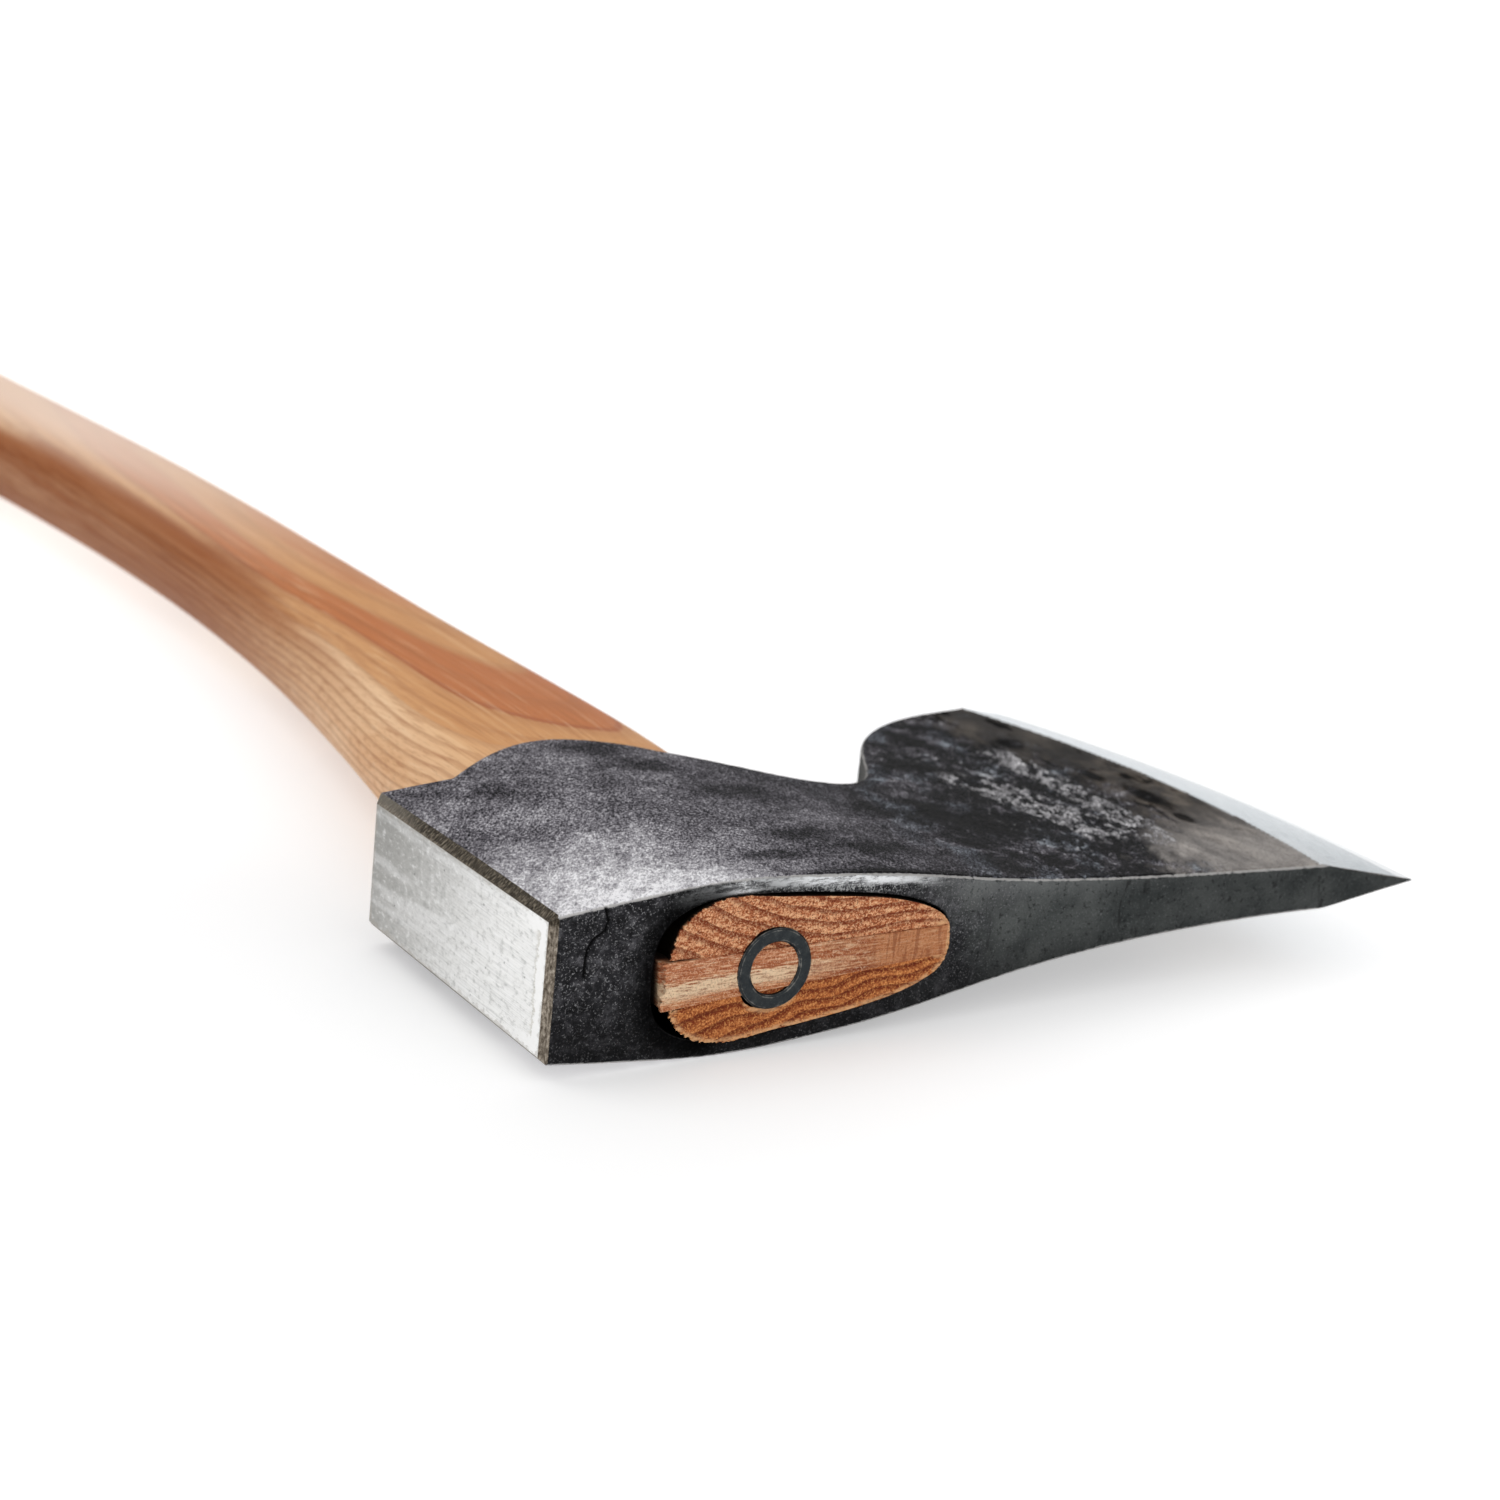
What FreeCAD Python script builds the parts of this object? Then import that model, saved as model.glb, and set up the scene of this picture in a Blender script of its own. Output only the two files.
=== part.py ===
"""Felling axe: forged head, curved wooden handle, wooden wedge and steel ring wedge.

Units are millimetres. The axe lies on its side.
+X runs from the poll to the cutting edge, +Y from the top of the eye to the handle's end,
+Z through the upper cheek. The origin is the centre of the ground poll face.
"""
import FreeCAD
import Part
import math
import os
from FreeCAD import Vector

# ---- driving dimensions: head ----
POLL_HEIGHT = 67.0          # height of the poll along Y, chamfers included
POLL_HALF_THICKNESS = 13.4  # half thickness of the head at the poll
POLL_BOTTOM_SHARE = 0.94    # share of that thickness at the poll's lower end
POLL_CHAMFER = 1.3          # ground chamfer around the poll face
HEAD_TOP = -POLL_HEIGHT / 2
HEAD_BOTTOM = POLL_HEIGHT / 2
POLL_STOCK = 5.0            # stock behind the poll face that the chamfers cut away
LUG_START = 15.0            # distance from the poll face to the lug's step
EDGE_REACH = 191.9          # poll face to the furthest point of the cutting edge
EDGE_RADIUS = 308.0         # curve of the cutting edge, seen from the cheek
EDGE_APEX_Y = -24.0         # height at which the cutting edge reaches furthest
EDGE_OVERRUN = 0.7          # the bevel planes run past the edge, leaving a narrow land
EDGE_TIP = 0.02             # half thickness of the bevel where it has run past the edge
BEVEL_REACH = 171.9         # poll face to the furthest point of the bevel's start line
BEVEL_RADIUS = 215.0        # curve of the bevel's start line
BEVEL_APEX_Y = -2.0
BEVEL_HALF_THICKNESS = 4.7  # half thickness of the blade where the bevel starts
TOE_RISE = 2.1              # how far the toe stands above the head's top line
HEEL_Y = 76.0               # height of the blade's lower corner
HEEL_ROUND = 3.5            # size of the rounded lower corner
RIM_ROUND = 0.9             # worn edge between the cheeks and the head's rim
EYE_RIM_ROUND = 0.6         # worn edge around the eye's opening
CUTTER_REACH = 20.0         # how far the outline's prism reaches past the cheeks

# Half thickness of the head at distances from the poll face, up to the bevel.
CHEEK_PROFILE = [
    (-3.0, 13.0),
    (0.0, POLL_HALF_THICKNESS),
    (18.0, 15.3),
    (35.0, 16.4),
    (52.0, 15.6),
    (72.0, 13.5),
    (93.0, 10.1),
    (118.0, 7.2),
    (144.0, 5.5),
]
# Share of that thickness that is left at heights y along the head.
CHEEK_FULLNESS = [
    (HEAD_TOP - 15.0, 1.0),
    (-12.0, 0.985),
    (20.0, 0.955),
    (48.0, 0.93),
    (72.0, 0.925),
    (100.0, 0.925),
]

# Outline of the head seen from the upper cheek, (x, y).
TOP_LINE = [
    (58.0, HEAD_TOP), (92.0, HEAD_TOP + 0.8), (124.0, HEAD_TOP + 1.7), (156.0, HEAD_TOP + 0.9)
]
BEARD_LINE = [
    (166.0, 73.6), (156.0, 71.6), (145.0, 69.2), (134.6, 64.8), (125.0, 57.8),
    (116.8, 48.2), (109.6, 36.0), (104.0, 28.4), (98.0, 24.6), (91.0, 24.2)
]
WAIST_LINE = [(91.0, 24.2), (83.4, 26.4), (76.6, 30.4), (70.0, 35.0), (63.0, 39.6)]
LUG_LINE = [(63.0, 39.6), (53.4, 46.0), (43.4, 47.8), (31.6, 44.6), (21.4, 38.4)]

# ---- driving dimensions: eye and handle ----
OVAL_POINTS = 20            # points around each section of the eye and the handle
# Sections of the eye: y, back x, front x, half width, fullness, taper to the front.
# A fullness of 2 is an ellipse; larger values fill its corners.
EYE_SECTIONS = [
    (HEAD_TOP - 4.0, 20.4, 82.2, 12.05, 3.0, 0.28),
    (HEAD_TOP, 20.5, 82.0, 12.0, 3.0, 0.28),
    (-10.0, 21.8, 80.4, 11.8, 2.8, 0.24),
    (15.0, 22.0, 79.0, 11.8, 2.6, 0.17),
    (33.0, 19.6, 78.8, 12.0, 2.5, 0.12),
    (50.0, 15.8, 80.6, 12.2, 2.4, 0.08),
    (70.0, 12.0, 84.0, 12.4, 2.4, 0.04),
]
TENON_PROUD = 0.8           # how far the tenon's end stands above the head
# Sections of the handle: y, back x, front x, half thickness, fullness, taper to the front.
HANDLE_SECTIONS = [
    (HEAD_TOP - TENON_PROUD, 24.4, 81.5, 11.6, 3.1, 0.27),
    (-24.0, 23.8, 80.9, 11.5, 3.0, 0.26),
    (-10.0, 23.2, 79.8, 11.4, 2.8, 0.24),
    (15.0, 22.8, 78.4, 11.4, 2.6, 0.17),
    (33.0, 20.4, 78.2, 11.6, 2.5, 0.12),
    (50.0, 18.2, 79.6, 11.9, 2.4, 0.08),
    (70.0, 20.4, 80.2, 12.4, 2.3, 0.05),
    (95.0, 25.0, 79.2, 12.7, 2.25, 0.03),
    (120.0, 29.4, 77.6, 12.8, 2.25, 0.02),
    (155.0, 34.6, 76.0, 12.8, 2.2, 0.0),
    (195.0, 38.2, 75.4, 12.7, 2.2, 0.0),
    (240.0, 39.3, 75.1, 12.6, 2.2, 0.0),
    (290.0, 37.6, 73.4, 12.6, 2.2, 0.0),
    (340.0, 34.0, 70.2, 12.6, 2.2, 0.0),
    (395.0, 29.6, 66.2, 12.6, 2.2, 0.0),
    (450.0, 25.4, 62.2, 12.7, 2.2, 0.0),
    (510.0, 21.4, 58.0, 12.9, 2.2, 0.0),
    (565.0, 19.0, 55.8, 13.2, 2.2, 0.0),
    (605.0, 18.6, 57.6, 13.6, 2.25, 0.0),
    (640.0, 19.6, 63.0, 14.0, 2.3, 0.0),
    (670.0, 21.8, 70.6, 14.2, 2.35, 0.0),
    (708.0, 26.2, 77.4, 14.2, 2.4, 0.0),
]
KNOB_END = 690.0            # height y of the knob's cut end, in line with the hang hole
KNOB_SLANT = 12.0           # angle of the cut across the knob, in degrees
KNOB_ROUND = 2.0            # rounding of the knob's cut end
HANG_HOLE_X = 45.0
HANG_HOLE_Y = 668.0
HANG_HOLE_RADIUS = 4.0
DRILL_REACH = 30.0          # how far the hang hole's cutter reaches either side of the middle

# ---- driving dimensions: wedges ----
WEDGE_PROUD = 1.3           # how far the wooden wedge stands above the head
WEDGE_DEPTH = 54.0          # depth of the wooden wedge below the head's top
# Corners (x, z) in the order back upper, back lower, front lower, front upper.
WEDGE_TOP = [(21.5, 2.9), (22.2, -5.8), (80.7, -2.3), (80.7, 3.1)]
WEDGE_TIP = [(24.8, -0.5), (24.8, -1.8), (77.6, -0.4), (77.6, 0.8)]
RING_X = 44.3               # place of the ring's axis in the tenon's end
RING_Z = -0.6
RING_OUTER = 7.5            # outer radius at the ring's top
RING_INNER = 4.9            # inner radius
RING_TIP = 0.6              # wall thickness at the ring's lower end
RING_PROUD = 1.6            # how far the ring stands above the head, more than the wedge
RING_DEPTH = 16.0           # depth of the ring below the head's top
RING_CHAMFER = 0.35
FIT_GAP = 0.04              # gap that keeps neighbouring solids apart
END_GAPS = 5                # the gap at a wedge's ends, in side gaps


def curve_edge(points, stations=None):
    """A smooth edge through the given points, optionally at set curve parameters."""
    curve = Part.BSplineCurve()
    if stations is None:
        curve.interpolate(points)
    else:
        curve.interpolate(Points=points, Parameters=stations)
    return curve.toShape()


def flat_points(pairs):
    """Points in the plane of the cheeks, from (x, y) pairs."""
    return [Vector(x, y, 0.0) for x, y in pairs]


def circle_x(reach, radius, apex_y, y):
    """X of an arc that bulges towards +X, furthest out at apex_y."""
    return reach - radius + math.sqrt(radius ** 2 - (y - apex_y) ** 2)


def edge_x(y):
    """X of the cutting edge at height y."""
    return circle_x(EDGE_REACH, EDGE_RADIUS, EDGE_APEX_Y, y)


def bevel_x(y):
    """X of the line where the bevel starts, at height y."""
    return circle_x(BEVEL_REACH, BEVEL_RADIUS, BEVEL_APEX_Y, y)


def head_section(y, fullness):
    """Closed section of the head across its thickness at height y."""
    upper = [Vector(x, y, t * fullness) for x, t in CHEEK_PROFILE]
    upper.append(Vector(bevel_x(y), y, BEVEL_HALF_THICKNESS))
    lower = [Vector(p.x, y, -p.z) for p in upper]
    start = CHEEK_PROFILE[0][0]
    stations = [x - start for x, t in CHEEK_PROFILE] + [BEVEL_REACH - start]
    back_stations = [stations[-1] - station for station in stations[::-1]]
    tip_x = edge_x(y) + EDGE_OVERRUN
    tip_up = Vector(tip_x, y, EDGE_TIP)
    tip_down = Vector(tip_x, y, -EDGE_TIP)
    edges = [
        curve_edge(upper, stations),
        Part.makeLine(upper[-1], tip_up),
        Part.makeLine(tip_up, tip_down),
        Part.makeLine(tip_down, lower[-1]),
        curve_edge(lower[::-1], back_stations),
        Part.makeLine(lower[0], upper[0]),
    ]
    return Part.Wire(edges)


def head_thickness_body():
    """Body with the cheeks and bevels, taller than the head."""
    sections = [head_section(y, fullness) for y, fullness in CHEEK_FULLNESS]
    return Part.makeLoft(sections, True)


def arc_edge(start, middle, end):
    """Circular edge through three (x, y) points."""
    return Part.Arc(*flat_points([start, middle, end])).toShape()


def head_outline():
    """Face with the head's outline seen from the upper cheek."""
    toe_y = HEAD_TOP - TOE_RISE
    toe = (edge_x(toe_y), toe_y)
    heel_x = edge_x(HEEL_Y)
    corner_cut = 0.27 * HEEL_ROUND
    heel_drop = 0.1 * HEEL_ROUND
    heel_up = (edge_x(HEEL_Y - HEEL_ROUND), HEEL_Y - HEEL_ROUND)
    heel_mid = (heel_x - corner_cut, HEEL_Y - corner_cut)
    heel_down = (heel_x - HEEL_ROUND, HEEL_Y - heel_drop)
    middle_y = (toe_y + heel_up[1]) / 2
    corners = flat_points([
        (-POLL_STOCK, HEAD_BOTTOM), (-POLL_STOCK, HEAD_TOP), TOP_LINE[0], (LUG_START, HEAD_BOTTOM)
    ])
    edges = [
        Part.makeLine(corners[1], corners[2]),
        curve_edge(flat_points(TOP_LINE + [toe])),
        arc_edge(toe, (edge_x(middle_y), middle_y), heel_up),
        arc_edge(heel_up, heel_mid, heel_down),
        curve_edge(flat_points([heel_down] + BEARD_LINE)),
        curve_edge(flat_points(WAIST_LINE)),
        curve_edge(flat_points(LUG_LINE + [(LUG_START, HEAD_BOTTOM)])),
        Part.makeLine(corners[3], corners[0]),
        Part.makeLine(corners[0], corners[1]),
    ]
    return Part.Face(Part.Wire(edges))


def poll_outline(x, grow):
    """Four-sided wire across the poll at distance x, grown by the chamfer's run."""
    y = POLL_HEIGHT / 2 - POLL_CHAMFER + grow
    z_top = POLL_HALF_THICKNESS - POLL_CHAMFER + grow
    z_bottom = POLL_HALF_THICKNESS * POLL_BOTTOM_SHARE - POLL_CHAMFER + grow
    corners = [
        Vector(x, -y, -z_top),
        Vector(x, y, -z_bottom),
        Vector(x, y, z_bottom),
        Vector(x, -y, z_top),
    ]
    return Part.makePolygon(corners + corners[:1])


def poll_chamfer_body():
    """Pyramid stump whose small end is the poll face and whose sides are the chamfers."""
    run = 250.0
    return Part.makeLoft([poll_outline(0.0, 0.0), poll_outline(run, run)], True, True)


def oval(y, back, front, half_width, fullness, taper):
    """Closed egg-shaped wire across the handle, wider towards its back."""
    middle = (back + front) / 2
    reach = (front - back) / 2
    points = []
    for step in range(OVAL_POINTS):
        angle = 2 * math.pi * step / OVAL_POINTS
        cosine, sine = math.cos(angle), math.sin(angle)
        radius = (abs(cosine) ** fullness + abs(sine) ** fullness) ** (-1 / fullness)
        along, across = radius * cosine, radius * sine
        width = half_width * (1 - taper * along)
        points.append(Vector(middle + reach * along, y, width * across))
    stations = [step / OVAL_POINTS for step in range(OVAL_POINTS + 1)]
    curve = Part.BSplineCurve()
    curve.interpolate(Points=points, PeriodicFlag=True, Parameters=stations)
    return Part.Wire([curve.toShape()])


def is_rim(edge):
    """True for the long edges between a cheek and the head's rim, short of the bevel."""
    box = edge.BoundBox
    least_z = 4.0
    least_length = 20.0
    on_cheek = box.ZMin > least_z or box.ZMax < -least_z
    on_rim = box.XMax > LUG_START + 5.0 and box.XMin < BEVEL_REACH - 20.0
    return on_cheek and on_rim and edge.Length > least_length


def is_eye_rim(edge):
    """True for the edge around the eye's opening in the head's top."""
    box = edge.BoundBox
    least_length = 25.0
    in_top = box.YMax < HEAD_TOP + 1.0
    around_eye = box.XMin > EYE_SECTIONS[0][1] - 3.0 and box.XMax < EYE_SECTIONS[0][2] + 3.0
    return in_top and around_eye and edge.Length > least_length


def axe_head():
    """Forged head with its eye, poll chamfers, bevels and worn rims."""
    outline = head_outline()
    outline.translate(Vector(0.0, 0.0, -CUTTER_REACH))
    prism = outline.extrude(Vector(0.0, 0.0, 2 * CUTTER_REACH))
    body = prism.common(head_thickness_body())
    body = body.common(poll_chamfer_body())
    eye = Part.makeLoft([oval(*section) for section in EYE_SECTIONS], True)
    body = body.cut(eye)
    body = body.makeFillet(RIM_ROUND, [edge for edge in body.Edges if is_rim(edge)])
    return body.makeFillet(EYE_RIM_ROUND, [edge for edge in body.Edges if is_eye_rim(edge)])


def wedge_wire(corners, y, grow):
    """Four-sided wire of the wooden wedge at height y."""
    steps = [(-grow, grow), (-grow, -grow), (grow, -grow), (grow, grow)]
    points = []
    for (x, z), (step_x, step_z) in zip(corners, steps):
        points.append(Vector(x + step_x, y, z + step_z))
    return Part.makePolygon(points + points[:1])


def wedge_body(grow):
    """Tapered wedge body; grow makes it larger on every side, for the kerf."""
    top = wedge_wire(WEDGE_TOP, HEAD_TOP - WEDGE_PROUD - END_GAPS * grow, grow)
    tip = wedge_wire(WEDGE_TIP, HEAD_TOP + WEDGE_DEPTH + END_GAPS * grow, grow)
    return Part.makeLoft([top, tip], True, True)


def ring_body(grow):
    """Tapered ring; grow makes it larger on every side, for its groove."""
    top = HEAD_TOP - RING_PROUD - END_GAPS * grow
    tip = HEAD_TOP + RING_DEPTH + END_GAPS * grow
    inner = RING_INNER - grow
    outer = RING_OUTER + grow
    profile = [
        Vector(inner + RING_CHAMFER, top, 0.0),
        Vector(outer - RING_CHAMFER, top, 0.0),
        Vector(outer, top + RING_CHAMFER, 0.0),
        Vector(inner + RING_TIP + 2 * grow, tip, 0.0),
        Vector(inner, tip, 0.0),
        Vector(inner, top + RING_CHAMFER, 0.0),
    ]
    face = Part.Face(Part.makePolygon(profile + profile[:1]))
    ring = face.revolve(Vector(0.0, 0.0, 0.0), Vector(0.0, 1.0, 0.0), 360)
    ring.translate(Vector(RING_X, 0.0, RING_Z))
    return ring


def knob_cutter():
    """Block that leaves the slanted end of the knob."""
    reach = 200.0
    block = Part.makeBox(2 * reach, reach, 2 * reach, Vector(-reach, 0.0, -reach))
    block.rotate(Vector(0.0, 0.0, 0.0), Vector(0.0, 0.0, 1.0), KNOB_SLANT)
    block.translate(Vector(HANG_HOLE_X, KNOB_END, 0.0))
    return block


def handle():
    """Curved handle with its tenon, kerf, ring groove, slanted knob and hang hole."""
    body = Part.makeLoft([oval(*section) for section in HANDLE_SECTIONS], True)
    body = body.cut(knob_cutter())
    knob_edges = [edge for edge in body.Edges if edge.BoundBox.YMin > HANG_HOLE_Y]
    body = body.makeFillet(KNOB_ROUND, knob_edges)
    hole_start = Vector(HANG_HOLE_X, HANG_HOLE_Y, -DRILL_REACH)
    up = Vector(0.0, 0.0, 1.0)
    body = body.cut(Part.makeCylinder(HANG_HOLE_RADIUS, 2 * DRILL_REACH, hole_start, up))
    body = body.cut(wedge_body(FIT_GAP))
    return body.cut(ring_body(FIT_GAP))


def wooden_wedge():
    """Wooden wedge along the eye, cut by the ring wedge."""
    return wedge_body(0.0).cut(ring_body(FIT_GAP))


def ring_wedge():
    """Steel ring driven into the tenon and the wooden wedge."""
    return ring_body(0.0)


def main():
    os.makedirs("parts", exist_ok=True)
    makers = {
        "axe_head": axe_head,
        "handle": handle,
        "wooden_wedge": wooden_wedge,
        "ring_wedge": ring_wedge,
    }
    for name, make in makers.items():
        make().exportStep("parts/" + name + ".step")


main()
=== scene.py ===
"""Looks of the felling axe: refined meshes, procedural steel and wood, a pale floor and soft light.

Lengths are in millimetres in the shape and shader code, and in metres in Blender.
+X runs from the poll to the cutting edge, +Y from the eye's top to the handle's end, +Z up.
Colours are written as 0 to 255 screen values.
"""
import math
import bpy
import numpy as np
from mathutils import Matrix, Vector, kdtree, noise


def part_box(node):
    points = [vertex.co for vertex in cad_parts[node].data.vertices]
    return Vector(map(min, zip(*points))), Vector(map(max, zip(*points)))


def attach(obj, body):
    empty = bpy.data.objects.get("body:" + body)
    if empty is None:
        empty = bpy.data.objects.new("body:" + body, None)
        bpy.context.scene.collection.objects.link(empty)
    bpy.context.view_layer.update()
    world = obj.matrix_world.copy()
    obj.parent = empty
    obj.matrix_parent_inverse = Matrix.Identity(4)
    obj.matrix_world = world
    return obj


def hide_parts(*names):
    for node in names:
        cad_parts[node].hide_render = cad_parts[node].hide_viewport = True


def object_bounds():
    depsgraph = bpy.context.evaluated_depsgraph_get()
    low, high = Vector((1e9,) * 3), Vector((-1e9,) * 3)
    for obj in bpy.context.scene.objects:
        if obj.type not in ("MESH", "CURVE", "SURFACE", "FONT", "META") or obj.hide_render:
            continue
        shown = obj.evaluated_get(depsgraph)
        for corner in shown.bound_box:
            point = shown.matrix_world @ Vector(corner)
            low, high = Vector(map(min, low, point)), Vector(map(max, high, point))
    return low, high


MM = 0.001
SHARP_COSINE = math.cos(math.radians(5.0))  # creases turn by more than this

# Camera: place in mm, and its direction in degrees.
CAMERA_PLACE = (-265.6, -484.35, 210.11)
CAMERA_AZIMUTH = -33.73
CAMERA_ELEVATION = 17.47
CAMERA_ROLL = 5.8
CAMERA_LENS = 81.23
CAMERA_SENSOR = 36.0
CAMERA_FSTOP = 22.0

# Head: Y of the rim around the eye's top; the eye's ends and middle along X, and its half sizes.
RIM_TOP = -33.5
EYE_START, EYE_MIDDLE, EYE_END = 15.0, 50.0, 84.0
EYE_HALF_LENGTH = 33.0
EYE_HALF_WIDTH = 12.4
# Arcs seen from the side: radius, X of the arc's tip, Y of its centre.
BEVEL_ARC = (215.0, 171.9, -2.0)
EDGE_ARC = (308.0, 191.9, -24.0)
# The forging crack on the rim beside the poll: X and Z of its points.
CRACK = [(10.1, 14.0), (10.8, 11.6), (10.4, 9.8), (8.2, 8.6), (7.2, 6.8), (6.9, 4.4), (6.9, 1.4)]
# Middle of the painted highlight on the lip above the eye: X and Z of its points.
LIP_HIGHLIGHT = [(24.0, 13.2), (30.0, 14.2), (44.0, 15.0), (58.0, 14.1), (72.0, 12.8), (90.0, 10.0)]
# The head's visual mesh is clipped to within this distance of its CAD box.
MARGIN = 0.3

# Growth layers: a layer border's height in the stack and the spacing in mm, at the tenon's end
# and along the handle.
RING_BASE = 12.3
RING_STEP = 2.3
HEART_BASE = 11.6
STRATA_STEP = 1.8


# ---------------------------------------------------------------- meshes

def read(items, name, width, kind=np.float64):
    """One property of many mesh items as a numpy array."""
    values = np.zeros(len(items) * width, kind)
    items.foreach_get(name, values)
    return values.reshape(-1, width)


def unit(vectors):
    """Vectors scaled to length one; zero vectors stay as they are."""
    length = np.linalg.norm(vectors, axis=-1, keepdims=True)
    return vectors / np.maximum(length, 1e-12)


def dot(a, b):
    """Row by row dot product."""
    return (a * b).sum(axis=-1, keepdims=True)


def soft_step(value, low, high):
    """0 below low, 1 above high and smooth in between; low may be the larger."""
    share = np.clip((value - low) / (high - low), 0.0, 1.0)
    return share * share * (3.0 - 2.0 * share)


def welded(node):
    """Points in mm, triangles and corner normals of a CAD node, with equal points joined."""
    mesh = node.data
    mesh.calc_loop_triangles()
    points = read(mesh.vertices, "co", 3) / MM
    corners = read(mesh.loop_triangles, "vertices", 3, np.int32)
    loops = read(mesh.loop_triangles, "loops", 3, np.int32)
    normals = read(mesh.corner_normals, "vector", 3)[loops]
    keys = np.round(points * 1000.0).astype(np.int64)
    _, first, joined = np.unique(keys, axis=0, return_index=True, return_inverse=True)
    triangles = joined.reshape(-1)[corners]
    a, b, c = triangles.T
    whole = (a != b) & (b != c) & (c != a)
    return points[first], triangles[whole], normals[whole]


def edge_table(triangles):
    """Each edge once as a sorted pair, and the three edge numbers of every triangle."""
    after = np.roll(triangles, -1, axis=1)
    total = int(triangles.max()) + 1
    keys = np.minimum(triangles, after).astype(np.int64) * total + np.maximum(triangles, after)
    keys, index = np.unique(keys.ravel(), return_inverse=True)
    edges = np.stack([keys // total, keys % total], axis=1)
    return edges, index.reshape(-1, 3)


def edge_handles(points, triangles, normals):
    """The edge numbers of triangles, curve handles near both edge ends, and the creases."""
    edges, index = edge_table(triangles)
    order = np.argsort(index.ravel(), kind="stable")
    counts = np.bincount(index.ravel(), minlength=len(edges))
    starts = np.concatenate([[0], np.cumsum(counts)[:-1]])
    sides = []
    for place in (order[starts], order[starts + counts - 1]):
        face, corner = place // 3, place % 3
        after = (corner + 1) % 3
        swap = triangles[face, corner] > triangles[face, after]
        low = np.where(swap, after, corner)
        high = np.where(swap, corner, after)
        sides.append((normals[face, low], normals[face, high]))
    crease = np.zeros(len(edges), bool)
    handles = np.zeros((len(edges), 2, 3))
    for end in range(2):
        one, two = sides[0][end], sides[1][end]
        turned = dot(one, two)[:, 0] < SHARP_COSINE
        crease |= turned
        start = points[edges[:, end]]
        way = points[edges[:, 1 - end]] - start
        middle = unit(one + two)
        flat_way = way - dot(way, middle) * middle
        along = unit(np.cross(one, two))
        crease_way = dot(way, along) * along
        handle = np.where(turned[:, None], crease_way, flat_way)
        length = np.linalg.norm(way, axis=1)
        bent = np.linalg.norm(handle, axis=1) < 0.8 * length
        handle[bent] = way[bent]
        handles[:, end] = start + handle / 3.0
    return index, handles, crease


def patches(points, triangles, normals):
    """Ten control points of a curved patch for each triangle, and the crease flags of its edges."""
    index, handles, crease = edge_handles(points, triangles, normals)
    corner = points[triangles]
    control = np.zeros((len(triangles), 3, 2, 3))
    for side in range(3):
        swap = triangles[:, side] > triangles[:, (side + 1) % 3]
        pair = handles[index[:, side]]
        control[:, side] = np.where(swap[:, None, None], pair[:, ::-1], pair)
    ring = control.reshape(-1, 6, 3)
    middle = ring.mean(axis=1) * 1.5 - corner.mean(axis=1) * 0.5
    return corner, control, middle, crease[index]


def on_patch(patch, face, share):
    """Points on the patches of the given faces at barycentric shares."""
    corner, control, middle, _ = patch
    u, v, w = share[:, 0:1], share[:, 1:2], share[:, 2:3]
    weights = (u, v, w)
    result = 6.0 * u * v * w * middle[face]
    for side in range(3):
        a, b = weights[side], weights[(side + 1) % 3]
        result = result + a ** 3 * corner[face, side]
        result = result + 3.0 * a * a * b * control[face, side, 0]
        result = result + 3.0 * a * b * b * control[face, side, 1]
    return result


def split(triangle, share, face, edge_new, edge_index, longest):
    """Children of triangles whose longest edge, and maybe others, got a middle point."""
    rows = np.arange(len(triangle))
    turn = [(longest + step) % 3 for step in range(3)]
    a, b, c = [triangle[rows, step] for step in turn]
    sa, sb, sc = [share[rows, step] for step in turn]
    m, n, k = [edge_new[edge_index[rows, step]] for step in turn]
    sm, sn, sk = (sa + sb) / 2.0, (sb + sc) / 2.0, (sc + sa) / 2.0
    parts = []

    def keep(chosen, corners, shares):
        """Adds the chosen triangles to the parts."""
        parts.append((np.stack([corner[chosen] for corner in corners], axis=1),
                      np.stack([one[chosen] for one in shares], axis=1), face[chosen]))

    # Each half beside the longest edge stays whole, or is cut at its outer edge's new point.
    for first, second, third, new, s_first, s_second, s_third, s_new in (
        (m, b, c, n, sm, sb, sc, sn),
        (m, c, a, k, sm, sc, sa, sk),
    ):
        cut = new >= 0
        keep(~cut, (first, second, third), (s_first, s_second, s_third))
        keep(cut, (first, second, new), (s_first, s_second, s_new))
        keep(cut, (first, new, third), (s_first, s_new, s_third))
    return [np.concatenate(column) for column in zip(*parts)]


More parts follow.
